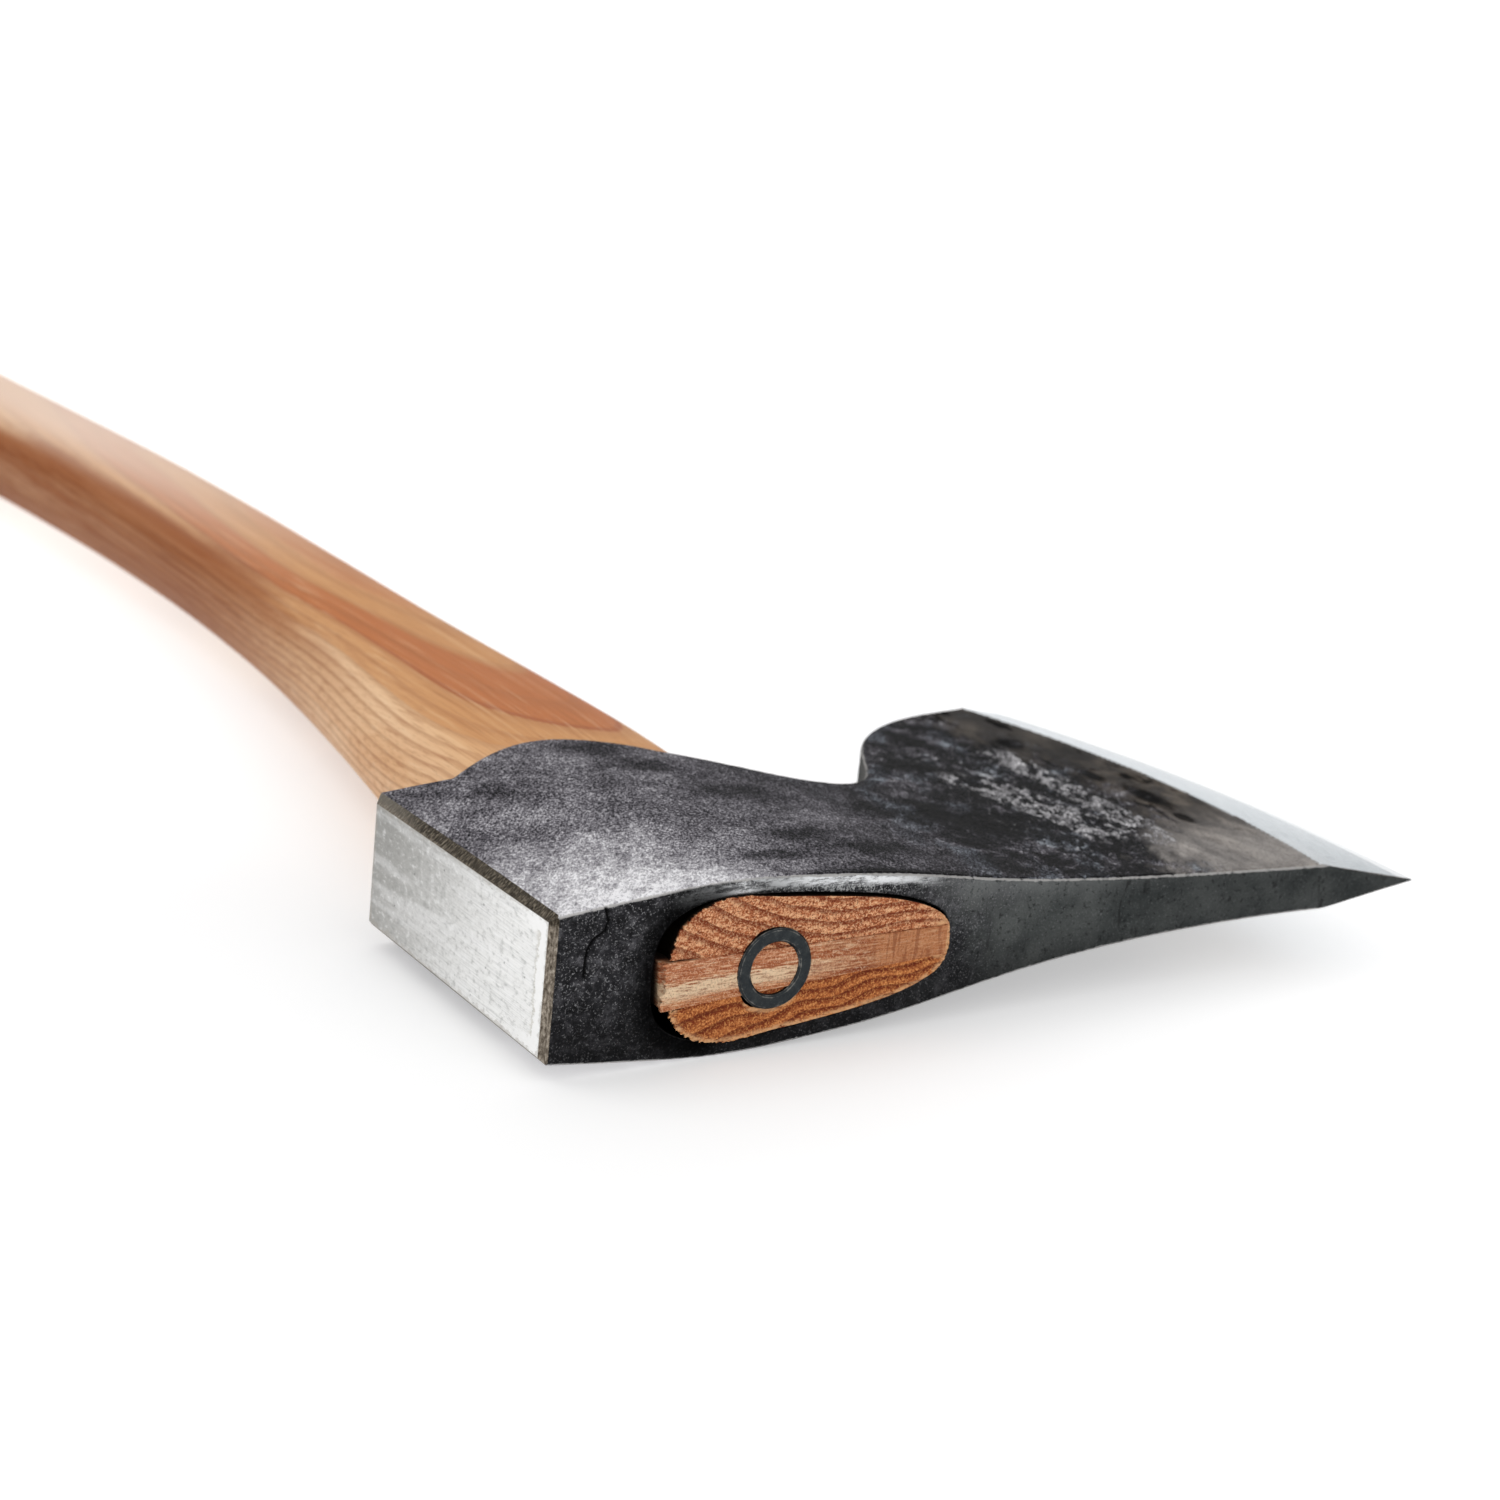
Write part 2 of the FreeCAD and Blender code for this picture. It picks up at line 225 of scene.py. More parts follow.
def refine(points, triangles, normals, limit):
    """Splits edges longer than limit(point) onto curved patches; returns the crease edges too."""
    patch = patches(points, triangles, normals)
    face = np.arange(len(triangles))
    share = np.tile(np.eye(3), (len(triangles), 1, 1))
    for _ in range(14):
        edges, index = edge_table(triangles)
        ends = points[edges]
        length = np.linalg.norm(ends[:, 0] - ends[:, 1], axis=1)
        marked = length > limit(ends.mean(axis=1))
        if not marked.any():
            break
        longest = np.argmax(length[index], axis=1)
        rows = np.arange(len(triangles))
        while True:
            need = marked[index].any(axis=1) & ~marked[index[rows, longest]]
            if not need.any():
                break
            marked[index[need, longest[need]]] = True
        edge_new = np.full(len(edges), -1)
        edge_new[marked] = len(points) + np.arange(marked.sum())
        owner = np.zeros(len(edges), np.int64)
        owner[index.ravel()] = np.arange(index.size)
        owner = owner[marked]
        owner_face, owner_side = owner // 3, owner % 3
        middle = share[owner_face, owner_side] + share[owner_face, (owner_side + 1) % 3]
        points = np.concatenate([points, on_patch(patch, face[owner_face], middle / 2.0)])
        busy = marked[index].any(axis=1)
        made = split(triangles[busy], share[busy], face[busy], edge_new, index[busy], longest[busy])
        triangles = np.concatenate([triangles[~busy], made[0]])
        share = np.concatenate([share[~busy], made[1]])
        face = np.concatenate([face[~busy], made[2]])
    crease = []
    for side in range(3):
        other = (side + 1) % 3
        for source in range(3):
            outside = (source + 2) % 3
            on_edge = (share[:, side, outside] == 0.0) & (share[:, other, outside] == 0.0)
            on_edge &= patch[3][face, source]
            crease.append(triangles[on_edge][:, [side, other]])
    crease = np.unique(np.sort(np.concatenate(crease), axis=1), axis=0)
    return points, triangles, crease


def point_normals(points, triangles):
    """Area-weighted normal of each point."""
    a, b, c = [points[triangles[:, corner]] for corner in range(3)]
    across = np.cross(b - a, c - a)
    total = np.zeros_like(points)
    for corner in range(3):
        total += gathered(triangles[:, corner], across, len(points))
    return unit(total)


def gathered(index, values, count):
    """Sum of the values that share an index."""
    columns = [np.bincount(index, weights=column, minlength=count) for column in values.T]
    return np.stack(columns, axis=1)


def neighbour_mean(values, edges, count):
    """Mean over each point's neighbours."""
    columns = values.reshape(count, -1)
    total = np.zeros(columns.shape)
    for one, two in ((0, 1), (1, 0)):
        total += gathered(edges[:, one], columns[edges[:, two]], count)
    number = np.bincount(edges.ravel(), minlength=count)[:, None]
    return (total / np.maximum(number, 1)).reshape(values.shape)


def even_out(points, triangles, crease, rounds):
    """Moves points along the surface towards their neighbours' mean; creases stay put."""
    edges, _ = edge_table(triangles)
    free = np.ones(len(points), bool)
    free[crease.ravel()] = False
    for _ in range(rounds):
        normals = point_normals(points, triangles)
        shift = neighbour_mean(points, edges, len(points)) - points
        shift -= dot(shift, normals) * normals
        points = points + 0.5 * shift * free[:, None]
    return points


def blurred(values, triangles, rounds):
    """Values on points, smoothed over the surface."""
    edges, _ = edge_table(triangles)
    for _ in range(rounds):
        values = 0.5 * values + 0.5 * neighbour_mean(values, edges, len(values))
    return values


def fractal(points, scale, offset, octaves=3.0):
    """Seedless fractal noise at points; scale is in cells per mm, for each axis."""
    spots = points * np.asarray(scale) + np.asarray(offset)
    return np.array([noise.fractal(spot, 0.9, 2.1, octaves) for spot in spots])


def nearest_distance(points, targets):
    """Distance from each point to the nearest target point."""
    tree = build_tree(targets)
    return np.array([tree.find(point)[2] for point in points])


def build_tree(targets):
    """A search tree over target points."""
    tree = kdtree.KDTree(len(targets))
    for number, target in enumerate(targets):
        tree.insert(target, number)
    tree.balance()
    return tree


def line_distance(flat, line):
    """Distance from 2-D points to a polyline."""
    best = np.full(len(flat), 1e9)
    for start, end in zip(line[:-1], line[1:]):
        start, end = np.array(start), np.array(end)
        way = end - start
        share = np.clip(((flat - start) @ way) / (way @ way), 0.0, 1.0)
        gap = np.linalg.norm(flat - start - share[:, None] * way, axis=1)
        best = np.minimum(best, gap)
    return best


def arc_reach(arc, y):
    """X of an arc at the given Y."""
    radius, tip, centre = arc
    return tip - radius + np.sqrt(radius ** 2 - (y - centre) ** 2)


def make_piece(name, node, points, triangles, crease, values, materials, material_index=None):
    """A new piece that stands for a CAD node, with point attributes and sharp creases."""
    mesh = bpy.data.meshes.new(name)
    mesh.from_pydata((points * MM).tolist(), [], triangles.tolist())
    mesh.shade_smooth()
    pairs = np.sort(read(mesh.edges, "vertices", 2, np.int32), axis=1).astype(np.int64)
    total = len(points)
    sharp = np.isin(pairs[:, 0] * total + pairs[:, 1], crease[:, 0] * total + crease[:, 1])
    mesh.attributes.new("sharp_edge", "BOOLEAN", "EDGE").data.foreach_set("value", sharp)
    for key, value in values.items():
        layer = mesh.attributes.new(key, "FLOAT", "POINT")
        layer.data.foreach_set("value", value.astype(np.float32))
    for material in materials:
        mesh.materials.append(material)
    if material_index is not None:
        mesh.polygons.foreach_set("material_index", material_index.astype(np.int32))
    piece = bpy.data.objects.new(name, mesh)
    bpy.context.scene.collection.objects.link(piece)
    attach(piece, "root")
    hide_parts(node)
    print(name, len(points), "points", len(triangles), "triangles")
    return piece


# ---------------------------------------------------------------- shaders

def paint(red, green, blue):
    """A colour from 0 to 255 screen values."""
    linear = []
    for value in (red, green, blue):
        share = value / 255.0
        if share <= 0.04045:
            linear.append(share / 12.92)
        else:
            linear.append(((share + 0.055) / 1.055) ** 2.4)
    return (*linear, 1.0)


def fill_ramp(node, stops):
    """Sets a colour ramp's stops from pairs of place and colour."""
    marks = node.color_ramp.elements
    while len(marks) < len(stops):
        marks.new(0.5)
    for mark, (place, colour) in zip(marks, stops):
        mark.position = place
        mark.color = colour


class Value:
    """A number made by shader nodes, which can be added, subtracted, multiplied and divided."""

    def __init__(self, shader, socket):
        self.shader, self.socket = shader, socket

    def __add__(self, other):
        return self.shader.math("ADD", self, other)

    def __sub__(self, other):
        return self.shader.math("SUBTRACT", self, other)

    def __rsub__(self, other):
        return self.shader.math("SUBTRACT", other, self)

    def __mul__(self, other):
        return self.shader.math("MULTIPLY", self, other)

    def __truediv__(self, other):
        return self.shader.math("DIVIDE", self, other)


class Shader:
    """A node material with short calls for the nodes used here; its position is in mm."""

    def __init__(self, name):
        self.material = bpy.data.materials.new(name)
        self.material.use_nodes = True
        self.tree = self.material.node_tree
        self.tree.nodes.clear()
        place = self.node("ShaderNodeTexCoord", {}).outputs["Object"]
        self.position = self.scaled(place, (1.0 / MM, 1.0 / MM, 1.0 / MM))

    def feed(self, socket, value):
        """Links or sets one input."""
        if isinstance(value, Value):
            value = value.socket
        if isinstance(value, bpy.types.NodeSocket):
            self.tree.links.new(value, socket)
        else:
            socket.default_value = value

    def node(self, kind, sockets, **settings):
        """A node with its settings, and its inputs by name or number."""
        item = self.tree.nodes.new(kind)
        for key, value in settings.items():
            setattr(item, key, value)
        for key, value in sockets.items():
            self.feed(item.inputs[key], value)
        return item

    def scaled(self, vector, scale):
        """The vector with each axis multiplied."""
        sockets = {0: vector, 1: scale}
        return self.node("ShaderNodeVectorMath", sockets, operation="MULTIPLY").outputs[0]

    def axes(self):
        """The position's x, y and z."""
        parts = self.node("ShaderNodeSeparateXYZ", {0: self.position})
        return [Value(self, part) for part in parts.outputs]

    def join(self, x, y, z):
        """A vector from three values."""
        return self.node("ShaderNodeCombineXYZ", {0: x, 1: y, 2: z}).outputs[0]

    def value(self, name):
        """A mesh attribute."""
        return Value(self, self.node("ShaderNodeAttribute", {}, attribute_name=name).outputs["Fac"])

    def math(self, operation, *values):
        """A math node."""
        sockets = dict(enumerate(values))
        return Value(self, self.node("ShaderNodeMath", sockets, operation=operation).outputs[0])

    def larger(self, one, two):
        """The larger of two values."""
        return self.math("MAXIMUM", one, two)

    def noise(self, scale, detail=3.0, rough=0.55, twist=0.0, at=None):
        """Noise around 0.5; the scale is in cells per mm, for all axes or for each."""
        place = self.position if at is None else at
        if isinstance(scale, tuple):
            place, scale = self.scaled(place, scale), 1.0
        sockets = {"Vector": place, "Scale": scale, "Detail": detail,
                   "Roughness": rough, "Distortion": twist}
        return Value(self, self.node("ShaderNodeTexNoise", sockets).outputs["Fac"])

    def swing(self, value, size):
        """A pattern around 0.5 turned into a shift around 0, size from end to end."""
        return (value - 0.5) * size

    def step(self, value, low, high):
        """Smooth step from 0 at low to 1 at high; low may be the larger."""
        sockets = {"Value": value, "From Min": low, "From Max": high}
        node = self.node("ShaderNodeMapRange", sockets, interpolation_type="SMOOTHSTEP")
        return Value(self, node.outputs["Result"])

    def band(self, value, middle, outer, inner):
        """1 within inner of the middle, 0 beyond outer and smooth in between."""
        return self.step(self.math("ABSOLUTE", value - middle), outer, inner)

    def span(self, value, low, high, to_low, to_high):
        """Linear map from one range to another, clamped."""
        sockets = {"Value": value, "From Min": low, "From Max": high,
                   "To Min": to_low, "To Max": to_high}
        return Value(self, self.node("ShaderNodeMapRange", sockets).outputs["Result"])

    def mixed(self, kind, first, factor, one, two, blend="MIX"):
        """A mix node's output; first is the number of the kind's first colour or value socket."""
        node = self.node("ShaderNodeMix", {0: factor}, data_type=kind, blend_type=blend)
        self.feed(node.inputs[first], one)
        self.feed(node.inputs[first + 1], two)
        return node.outputs[2 if kind == "RGBA" else 0]

    def mix(self, factor, one, two):
        """Two colours mixed."""
        return self.mixed("RGBA", 6, factor, one, two)

    def lerp(self, factor, one, two):
        """Two values mixed."""
        return Value(self, self.mixed("FLOAT", 2, factor, one, two))

    def tinted(self, colour, tint):
        """The colour multiplied by a tint."""
        return self.mixed("RGBA", 6, 1.0, colour, (*tint, 1.0), "MULTIPLY")

    def coat(self, colour, cover, red, green, blue):
        """The colour with a paint over it, where cover is above 0."""
        return self.mix(cover, colour, paint(red, green, blue))

    def ramp(self, value, *stops):
        """A colour from stops, each a place, red, green and blue."""
        node = self.node("ShaderNodeValToRGB", {"Fac": value})
        fill_ramp(node, [(place, paint(*colour)) for place, *colour in stops])
        return node.outputs["Color"]

    def bump(self, height, depth, normal=None):
        """A bumped normal; depth is what a height of 1 means, in mm."""
        sockets = {"Height": height, "Strength": 1.0, "Distance": depth * MM}
        if normal is not None:
            sockets["Normal"] = normal
        return self.node("ShaderNodeBump", sockets).outputs["Normal"]

    def finish(self, colour, metallic, roughness, normal, **extra):
        """The surface and the output."""
        sockets = {"Base Color": colour, "Metallic": metallic, "Roughness": roughness,
                   "Normal": normal}
        sockets.update({key.replace("_", " "): value for key, value in extra.items()})
        surface = self.node("ShaderNodeBsdfPrincipled", sockets)
        self.node("ShaderNodeOutputMaterial", {"Surface": surface.outputs[0]})
        return self.material


def forged_steel():
    """Forge scale on the cheeks and rims, worn at edges with a painted highlight, ground brown-grey
    near the bevel.
    """
    s = Shader("forged_steel")
    x, y, z = s.axes()
    rim = s.value("rim")
    wear_and_highlight = s.value("wear_and_highlight")
    to_bevel = s.value("to_bevel")
    lip = s.value("lip")
    groove = s.value("groove")
    hollow_shade = s.value("hollow_shade")

    # Grain drawn out along one diagonal of the cheek.
    across = x * 0.83 - y * 0.56
    along = x * 0.56 + y * 0.83
    drawn = s.join(across, along * 0.45, z)
    speck = s.noise(2.3, 3.0, 0.7, at=drawn)
    mottle = s.noise(0.55, 5.0, 0.65, at=drawn)
    cloud = s.noise(0.13, 4.0, 0.55, 0.3, at=drawn)
    smoke = s.noise((0.035, 0.085, 0.05), 4.0, 0.55, 0.35)
    grain = s.noise(1.0, 5.0, 0.75)
    fine = s.noise(3.0, 3.0, 0.65)

    def blob(middle_x, middle_y, reach_x, reach_y, core=0.15):
        """A soft oval patch, 1 in its core and 0 outside."""
        way_x = (x - middle_x) / reach_x
        way_y = (y - middle_y) / reach_y
        far = s.math("SQRT", s.math("POWER", way_x, 2.0) + s.math("POWER", way_y, 2.0))
        return s.step(far + s.swing(cloud, 1.1), 1.0, core)

    # Cheek tone: grey at the poll, smoky and darker at the waist, nearly black at the heel.
    tone = 0.48 - s.step(x + s.swing(smoke, 60.0), 40.0, 84.0) * 0.14
    heel_side = s.step(x + s.swing(smoke, 40.0), 84.0, 112.0)
    tone = tone - heel_side * 0.12
    tone = tone + s.swing(smoke, s.lerp(heel_side, 0.32, 0.7))
    tone = tone + s.swing(cloud, s.lerp(heel_side, 0.26, 0.5))
    wisp = s.noise((0.11, 0.3, 0.2), 5.0, 0.68, 0.25, at=drawn)
    tone = tone + s.swing(wisp, s.lerp(heel_side, 0.55, 1.8))
    for dark in ((63, 13, 15, 8), (60, -12, 14, 5.5), (72, -19, 15, 5.5), (98, 4, 20, 20),
                 (118, 0, 20, 16), (98, 27, 10, 14), (20, 24, 9, 8), (47, 41, 15, 8),
                 (54, 30, 10, 8), (50, -23, 12, 4)):
        tone = tone - blob(*dark) * 0.2
    for light in ((26, -7, 16, 9), (76, -3, 14, 7), (26, 8, 20, 12)):
        tone = tone + blob(*light) * 0.09

    # Painted sheen: a highlight painted on the steel near the poll's top corner and along the top
    # edge.
    sheen = blob(12, -28, 45, 34, 0.0) * s.span(mottle, 0.3, 0.62, 0.85, 1.1)
    edge_sheen = s.step(y, -22.0, -30.0) * s.step(x, 50.0, 32.0)
    # Painted dark reflection: a dark line just inside the top edge, from the waist towards the blade.
    dark_reflection_line = s.step(y, -29.5, -32.5) * s.step(x, 44.0, 56.0) * s.step(x, 104.0, 88.0)
    tone = tone - dark_reflection_line * 0.28
    sheen = s.larger(sheen, edge_sheen * s.span(mottle, 0.3, 0.6, 0.7, 1.15))
    sheen = s.math("MINIMUM", sheen, 1.1)
    tone = tone + sheen * 0.35
    tone = tone + s.swing(mottle, s.lerp(heel_side, 0.42, 0.9))
    tone = tone + s.swing(speck, s.span(sheen, 0.0, 1.0, 1.7, 1.1)) + s.swing(fine, 0.4)
    cheek = s.ramp(tone, (0.0, 10, 10, 12), (0.2, 34, 34, 38), (0.4, 86, 83, 89),
                   (0.6, 140, 137, 143), (0.8, 198, 196, 200), (1.0, 246, 245, 247))
    teal = s.step(cloud, 0.48, 0.62) * s.step(x, 78.0, 100.0)
    cheek = s.mix(teal * 0.45, cheek, s.tinted(cheek, (0.72, 1.0, 1.08)))

    # Rubbed silver patches in two rows beside the ground zone, with soot between them.
    crumb = s.noise(1.1, 4.0, 0.7, at=drawn)
    blotch = s.noise((0.24, 0.1, 0.2), 4.0, 0.65, 0.3)
    shift = s.swing(blotch, 9.0) + s.swing(crumb, 5.0)
    row_one = s.band(x + shift, 147.5, 4.6, 3.0) * s.band(y, 14.0, 32.0, 26.0)
    row_two = s.band(x + shift + y * 0.22, 135.5, 8.0, 5.0) * s.band(y, 9.0, 24.0, 17.0)
    rows = s.larger(row_one, row_two)
    broken = s.step(blotch + s.swing(mottle, 0.6), 0.44, 0.53)
    silver = rows * broken * s.step(crumb, 0.33, 0.52) * 0.9
    flecks = s.step(crumb, 0.6, 0.68) * s.step(mottle, 0.48, 0.6) * 0.6
    around = s.band(x, 137.0, 26.0, 15.0) * s.band(y, 8.0, 44.0, 30.0)

    # Ground zone beside the bevel with left-over scale spots, widest at the toe.
    toe = s.step(y, 8.0, -24.0)
    ground_edge = to_bevel + s.swing(cloud, 30.0) + s.swing(mottle, 20.0) - toe * 15.0
    ground = s.step(ground_edge, 22.0, 6.0) * (1.0 - rim)
    soot = around * (1.0 - ground) * s.step(mottle, 0.62, 0.4)
    tan_tone = s.noise((0.17, 0.07, 0.1), 5.0, 0.65, 0.4)
    tan = s.ramp(tan_tone, (0.36, 18, 15, 13), (0.48, 64, 57, 50), (0.64, 128, 117, 105))
    pale = s.ramp(tan_tone, (0.3, 112, 106, 102), (0.7, 198, 191, 186))
    tan = s.mix(toe * 0.85, tan, pale)
    lines = s.noise((0.25, 4.0, 1.0), 2.0, 0.5)
    tan = s.coat(tan, s.step(lines, 0.5, 0.7) * 0.15, 196, 190, 184)
    tan = s.coat(tan, s.step(speck, 0.5, 0.36) * 0.4, 30, 26, 24)
    tan = s.coat(tan, s.step(y, 4.0, 40.0) * 0.55, 30, 26, 23)
    spots_noise = s.noise((0.17, 0.06, 0.1), 3.0, 0.55)
    spots = s.step(spots_noise, 0.555, 0.65) * s.step(to_bevel, 0.8, 2.5)
    for left_over in ((161, 10, 3.5, 10), (158, 25, 2.5, 6), (154, 47, 4, 5), (160, -3, 2, 4)):
        spots = s.larger(spots, blob(*left_over, 0.3))
    spots = spots * s.lerp(toe, 1.0, 0.12)
    tan = s.coat(tan, spots, 10, 9, 8)
    cheek = s.coat(cheek, soot * 0.85, 16, 16, 19)
    cheek = s.mix(ground, cheek, tan)
    silver_tone = s.ramp(speck + s.swing(mottle, 0.8), (0.34, 52, 52, 55), (0.5, 128, 126, 129),
                         (0.68, 226, 224, 226))
    cheek = s.mix(s.larger(silver, flecks * around * (1.0 - ground)), cheek, silver_tone)

    # Rims: black forge scale with bright specks, smoother and grey-green towards the blade.
    blade_side = s.step(x + s.swing(cloud, 40.0), 74.0, 104.0)
    scale = s.noise(0.38, 6.0, 0.75)
    scale_dark = s.ramp(scale, (0.34, 16, 16, 18), (0.52, 46, 46, 49), (0.68, 98, 97, 101))
    scale_light = s.ramp(cloud, (0.3, 56, 60, 60), (0.7, 90, 93, 92))
    rim_colour = s.mix(blade_side, scale_dark, scale_light)
    # Painted light: the rim's upper half is lighter from the waist to the blade.
    lit_upper_rim = s.step(z, 1.0, 12.0) * s.step(x, 70.0, 92.0) * s.step(x, 150.0, 118.0)
    rim_colour = s.coat(rim_colour, lit_upper_rim * 0.4, 150, 152, 152)
    specks = s.step(fine, 0.57, 0.66) * s.lerp(blade_side, 0.75, 0.25)
    rim_colour = s.coat(rim_colour, specks, 166, 166, 168)
    rim_colour = s.coat(rim_colour, s.step(grain, 0.46, 0.36) * 0.7, 9, 9, 10)
    stain = s.noise((0.3, 1.0, 0.06), 3.0, 0.6, 0.4)
    rim_colour = s.coat(rim_colour, s.step(stain, 0.62, 0.68) * blade_side * 0.6, 24, 24, 24)
    # Painted shade: the rim's lower half and its blade end are darker.
    shaded = s.larger(s.step(z, 3.0, -14.0) * 0.7, s.step(x, 100.0, 140.0) * 0.25)
    rim_colour = s.coat(rim_colour, shaded, 12, 12, 13)
    # Painted highlight: a bright band along the lip above the eye, broken up by noise.
    highlight_noise = s.noise((0.25, 1.0, 1.1), 5.0, 0.7)
    lip_highlight = lip * s.span(highlight_noise, 0.4, 0.54, 0.15, 1.0)
    # Painted glints: bright specks on the rim over the eye.
    over_eye = s.step(z, 8.5, 13.0) * s.step(x, 22.0, 34.0) * s.step(x, 86.0, 66.0)
    glints = over_eye * s.step(fine + s.swing(highlight_noise, 0.6), 0.46, 0.6) * 0.6
    rim_colour = s.coat(rim_colour, glints, 214, 216, 216)
    rim_colour = s.coat(rim_colour, lip_highlight, 246, 248, 250)

    colour = s.mix(rim, cheek, rim_colour)
    # Edge wear with a painted highlight: bright lines along the rounded edges.
    wear_and_highlight_line = s.step(wear_and_highlight + s.swing(grain, 1.2), 0.45, 0.75) * (1.0 - hollow_shade)
    colour = s.coat(colour, wear_and_highlight_line * 0.8, 196, 194, 192)
    colour = s.coat(colour, groove, 6, 6, 7)
    # Painted shade: the eye's wall and the rim in its shadow go near black.
    colour = s.coat(colour, hollow_shade, 3, 3, 3)

    ground_shine = ground * (1.0 - spots) * s.lerp(toe, 0.4, 1.0)
    bright = s.larger(s.larger(sheen, silver), s.larger(wear_and_highlight_line, ground_shine))
    bright = bright * (1.0 - s.larger(rim, hollow_shade))
    bright = s.larger(bright, s.larger(lip_highlight, glints) * rim)
    edge_tint = s.mix(bright, (0.3, 0.3, 0.3, 1.0), (1.0, 1.0, 1.0, 1.0))
    left_scale = ground * spots
    edge_tint = s.mix(left_scale, edge_tint, (0.06, 0.06, 0.06, 1.0))
    roughness = s.lerp(rim, s.span(grain, 0.3, 0.7, 0.4, 0.55), s.span(grain, 0.3, 0.7, 0.42, 0.62))
    roughness = s.lerp(ground, roughness, s.lerp(left_scale, 0.42, 0.65))
    roughness = s.lerp(hollow_shade, roughness, 0.9)

    height = grain * 0.12 + fine * 0.07 + mottle * 0.1
    height = height + rim * scale * 0.22 + rows * crumb * 0.1
    height = height * s.lerp(ground, 1.0, 0.35)
    normal = s.bump(height, 1.0)
    normal = s.bump(lines * ground, 0.02, normal)
    metal = s.lerp(bright, 0.7, 1.0) * (1.0 - hollow_shade)
    return s.finish(colour, metal, roughness, normal, Specular_Tint=edge_tint,
                    Specular_IOR_Level=s.span(hollow_shade, 0.0, 1.0, 0.5, 0.02))


def ground_poll():
    """Bright ground poll face with fine lines along it, and darker ground chamfers."""
    s = Shader("ground_poll")
    _, y, z = s.axes()
    chamfer = s.value("chamfer")
    near_edge = s.value("to_face_edge")
    upper_side = s.step(z, 11.0, 12.2)
    lines = s.noise((0.3, 0.08, 5.0), 3.0, 0.6)
    broad = s.noise((0.3, 0.03, 0.35), 3.0, 0.5)
    long_lines = s.noise((0.3, 0.03, 2.4), 2.0, 0.5)
    face = s.ramp(lines, (0.3, 218, 219, 218), (0.5, 244, 244, 242), (0.7, 254, 254, 253))
    face = s.coat(face, s.step(y + z * 0.7, -24.0, 38.0) * 0.95, 150, 149, 145)
    face = s.coat(face, s.step(broad, 0.45, 0.65) * 0.3, 250, 250, 250)
    face = s.coat(face, s.step(long_lines, 0.56, 0.72) * 0.2, 150, 150, 148)
    mottle = s.noise((0.5, 0.5, 0.9), 5.0, 0.75)
    face = s.coat(face, s.step(mottle, 0.5, 0.34) * 0.4, 132, 132, 129)
    face = s.coat(face, s.step(mottle, 0.52, 0.66) * 0.4, 252, 252, 252)
    cells = s.node("ShaderNodeTexVoronoi", {"Vector": s.scaled(s.position, (1.0, 0.8, 1.0)),
                                            "Scale": 0.32})
    pits = s.step(Value(s, cells.outputs["Distance"]), 0.085, 0.05)
    face = s.coat(face, pits * 0.5, 96, 96, 94)
    # Burnished border with a ragged inner edge, widest at the top end.
    ragged = s.noise((0.7, 0.42, 0.63), 5.0, 0.75)
    border = near_edge + s.swing(ragged, 5.0)
    top_end = s.step(y, -20.0, -29.0)
    face = s.coat(face, s.step(border, 3.0, 2.4) * top_end * 0.9, 252, 252, 251)
    beside = s.step(y, -27.5, -30.0)
    rust = s.band(border, 3.0, 0.6, 0.1) * beside
    face = s.coat(face, rust * 0.45, 172, 164, 146)
    face = s.coat(face, s.step(border, 0.6, 0.2) * 0.4, 170, 164, 154)

    cross = s.noise((1.0, 3.2, 1.0), 4.0, 0.7)
    side = s.ramp(cross, (0.34, 74, 66, 57), (0.5, 128, 118, 106), (0.68, 192, 182, 168))
    dark = s.ramp(cross, (0.36, 32, 28, 23), (0.5, 70, 63, 54), (0.66, 146, 136, 120))
    dark = s.coat(dark, s.step(y, 12.0, 36.0) * 0.7, 140, 134, 124)
    side = s.mix(upper_side, side, dark)
    colour = s.mix(chamfer, face, side)
    roughness = s.lerp(chamfer, s.span(lines, 0.3, 0.7, 0.34, 0.46), 0.48)
    height = lines * 0.03 + long_lines * 0.02 - pits * 0.05
    height = s.lerp(chamfer, height, cross * 0.12)
    return s.finish(colour, 1.0, roughness, s.bump(height, 1.0))


def ground_bevel():
    """Polished bevel with fine lines and a narrow honed band at the cutting edge."""
    s = Shader("ground_bevel")
    to_edge = s.value("to_edge")
    lines = s.noise((5.0, 0.35, 1.0), 2.0, 0.5)
    tone = s.noise((0.08, 0.03, 0.1), 2.0, 0.5)
    colour = s.ramp(tone, (0.3, 222, 230, 235), (0.7, 240, 245, 249))
    colour = s.coat(colour, s.step(lines, 0.45, 0.7) * 0.2, 204, 214, 220)
    honed = s.step(to_edge, 3.6, 3.2)
    seam = s.step(to_edge, 4.2, 3.8) * (1.0 - honed)
    colour = s.coat(colour, honed, 248, 251, 253)
    colour = s.coat(colour, seam * 0.6, 186, 196, 202)
    roughness = s.lerp(honed, s.span(lines, 0.3, 0.7, 0.2, 0.32), 0.16)
    return s.finish(colour, 1.0, roughness, s.bump(lines * (1.0 - honed), 0.01))


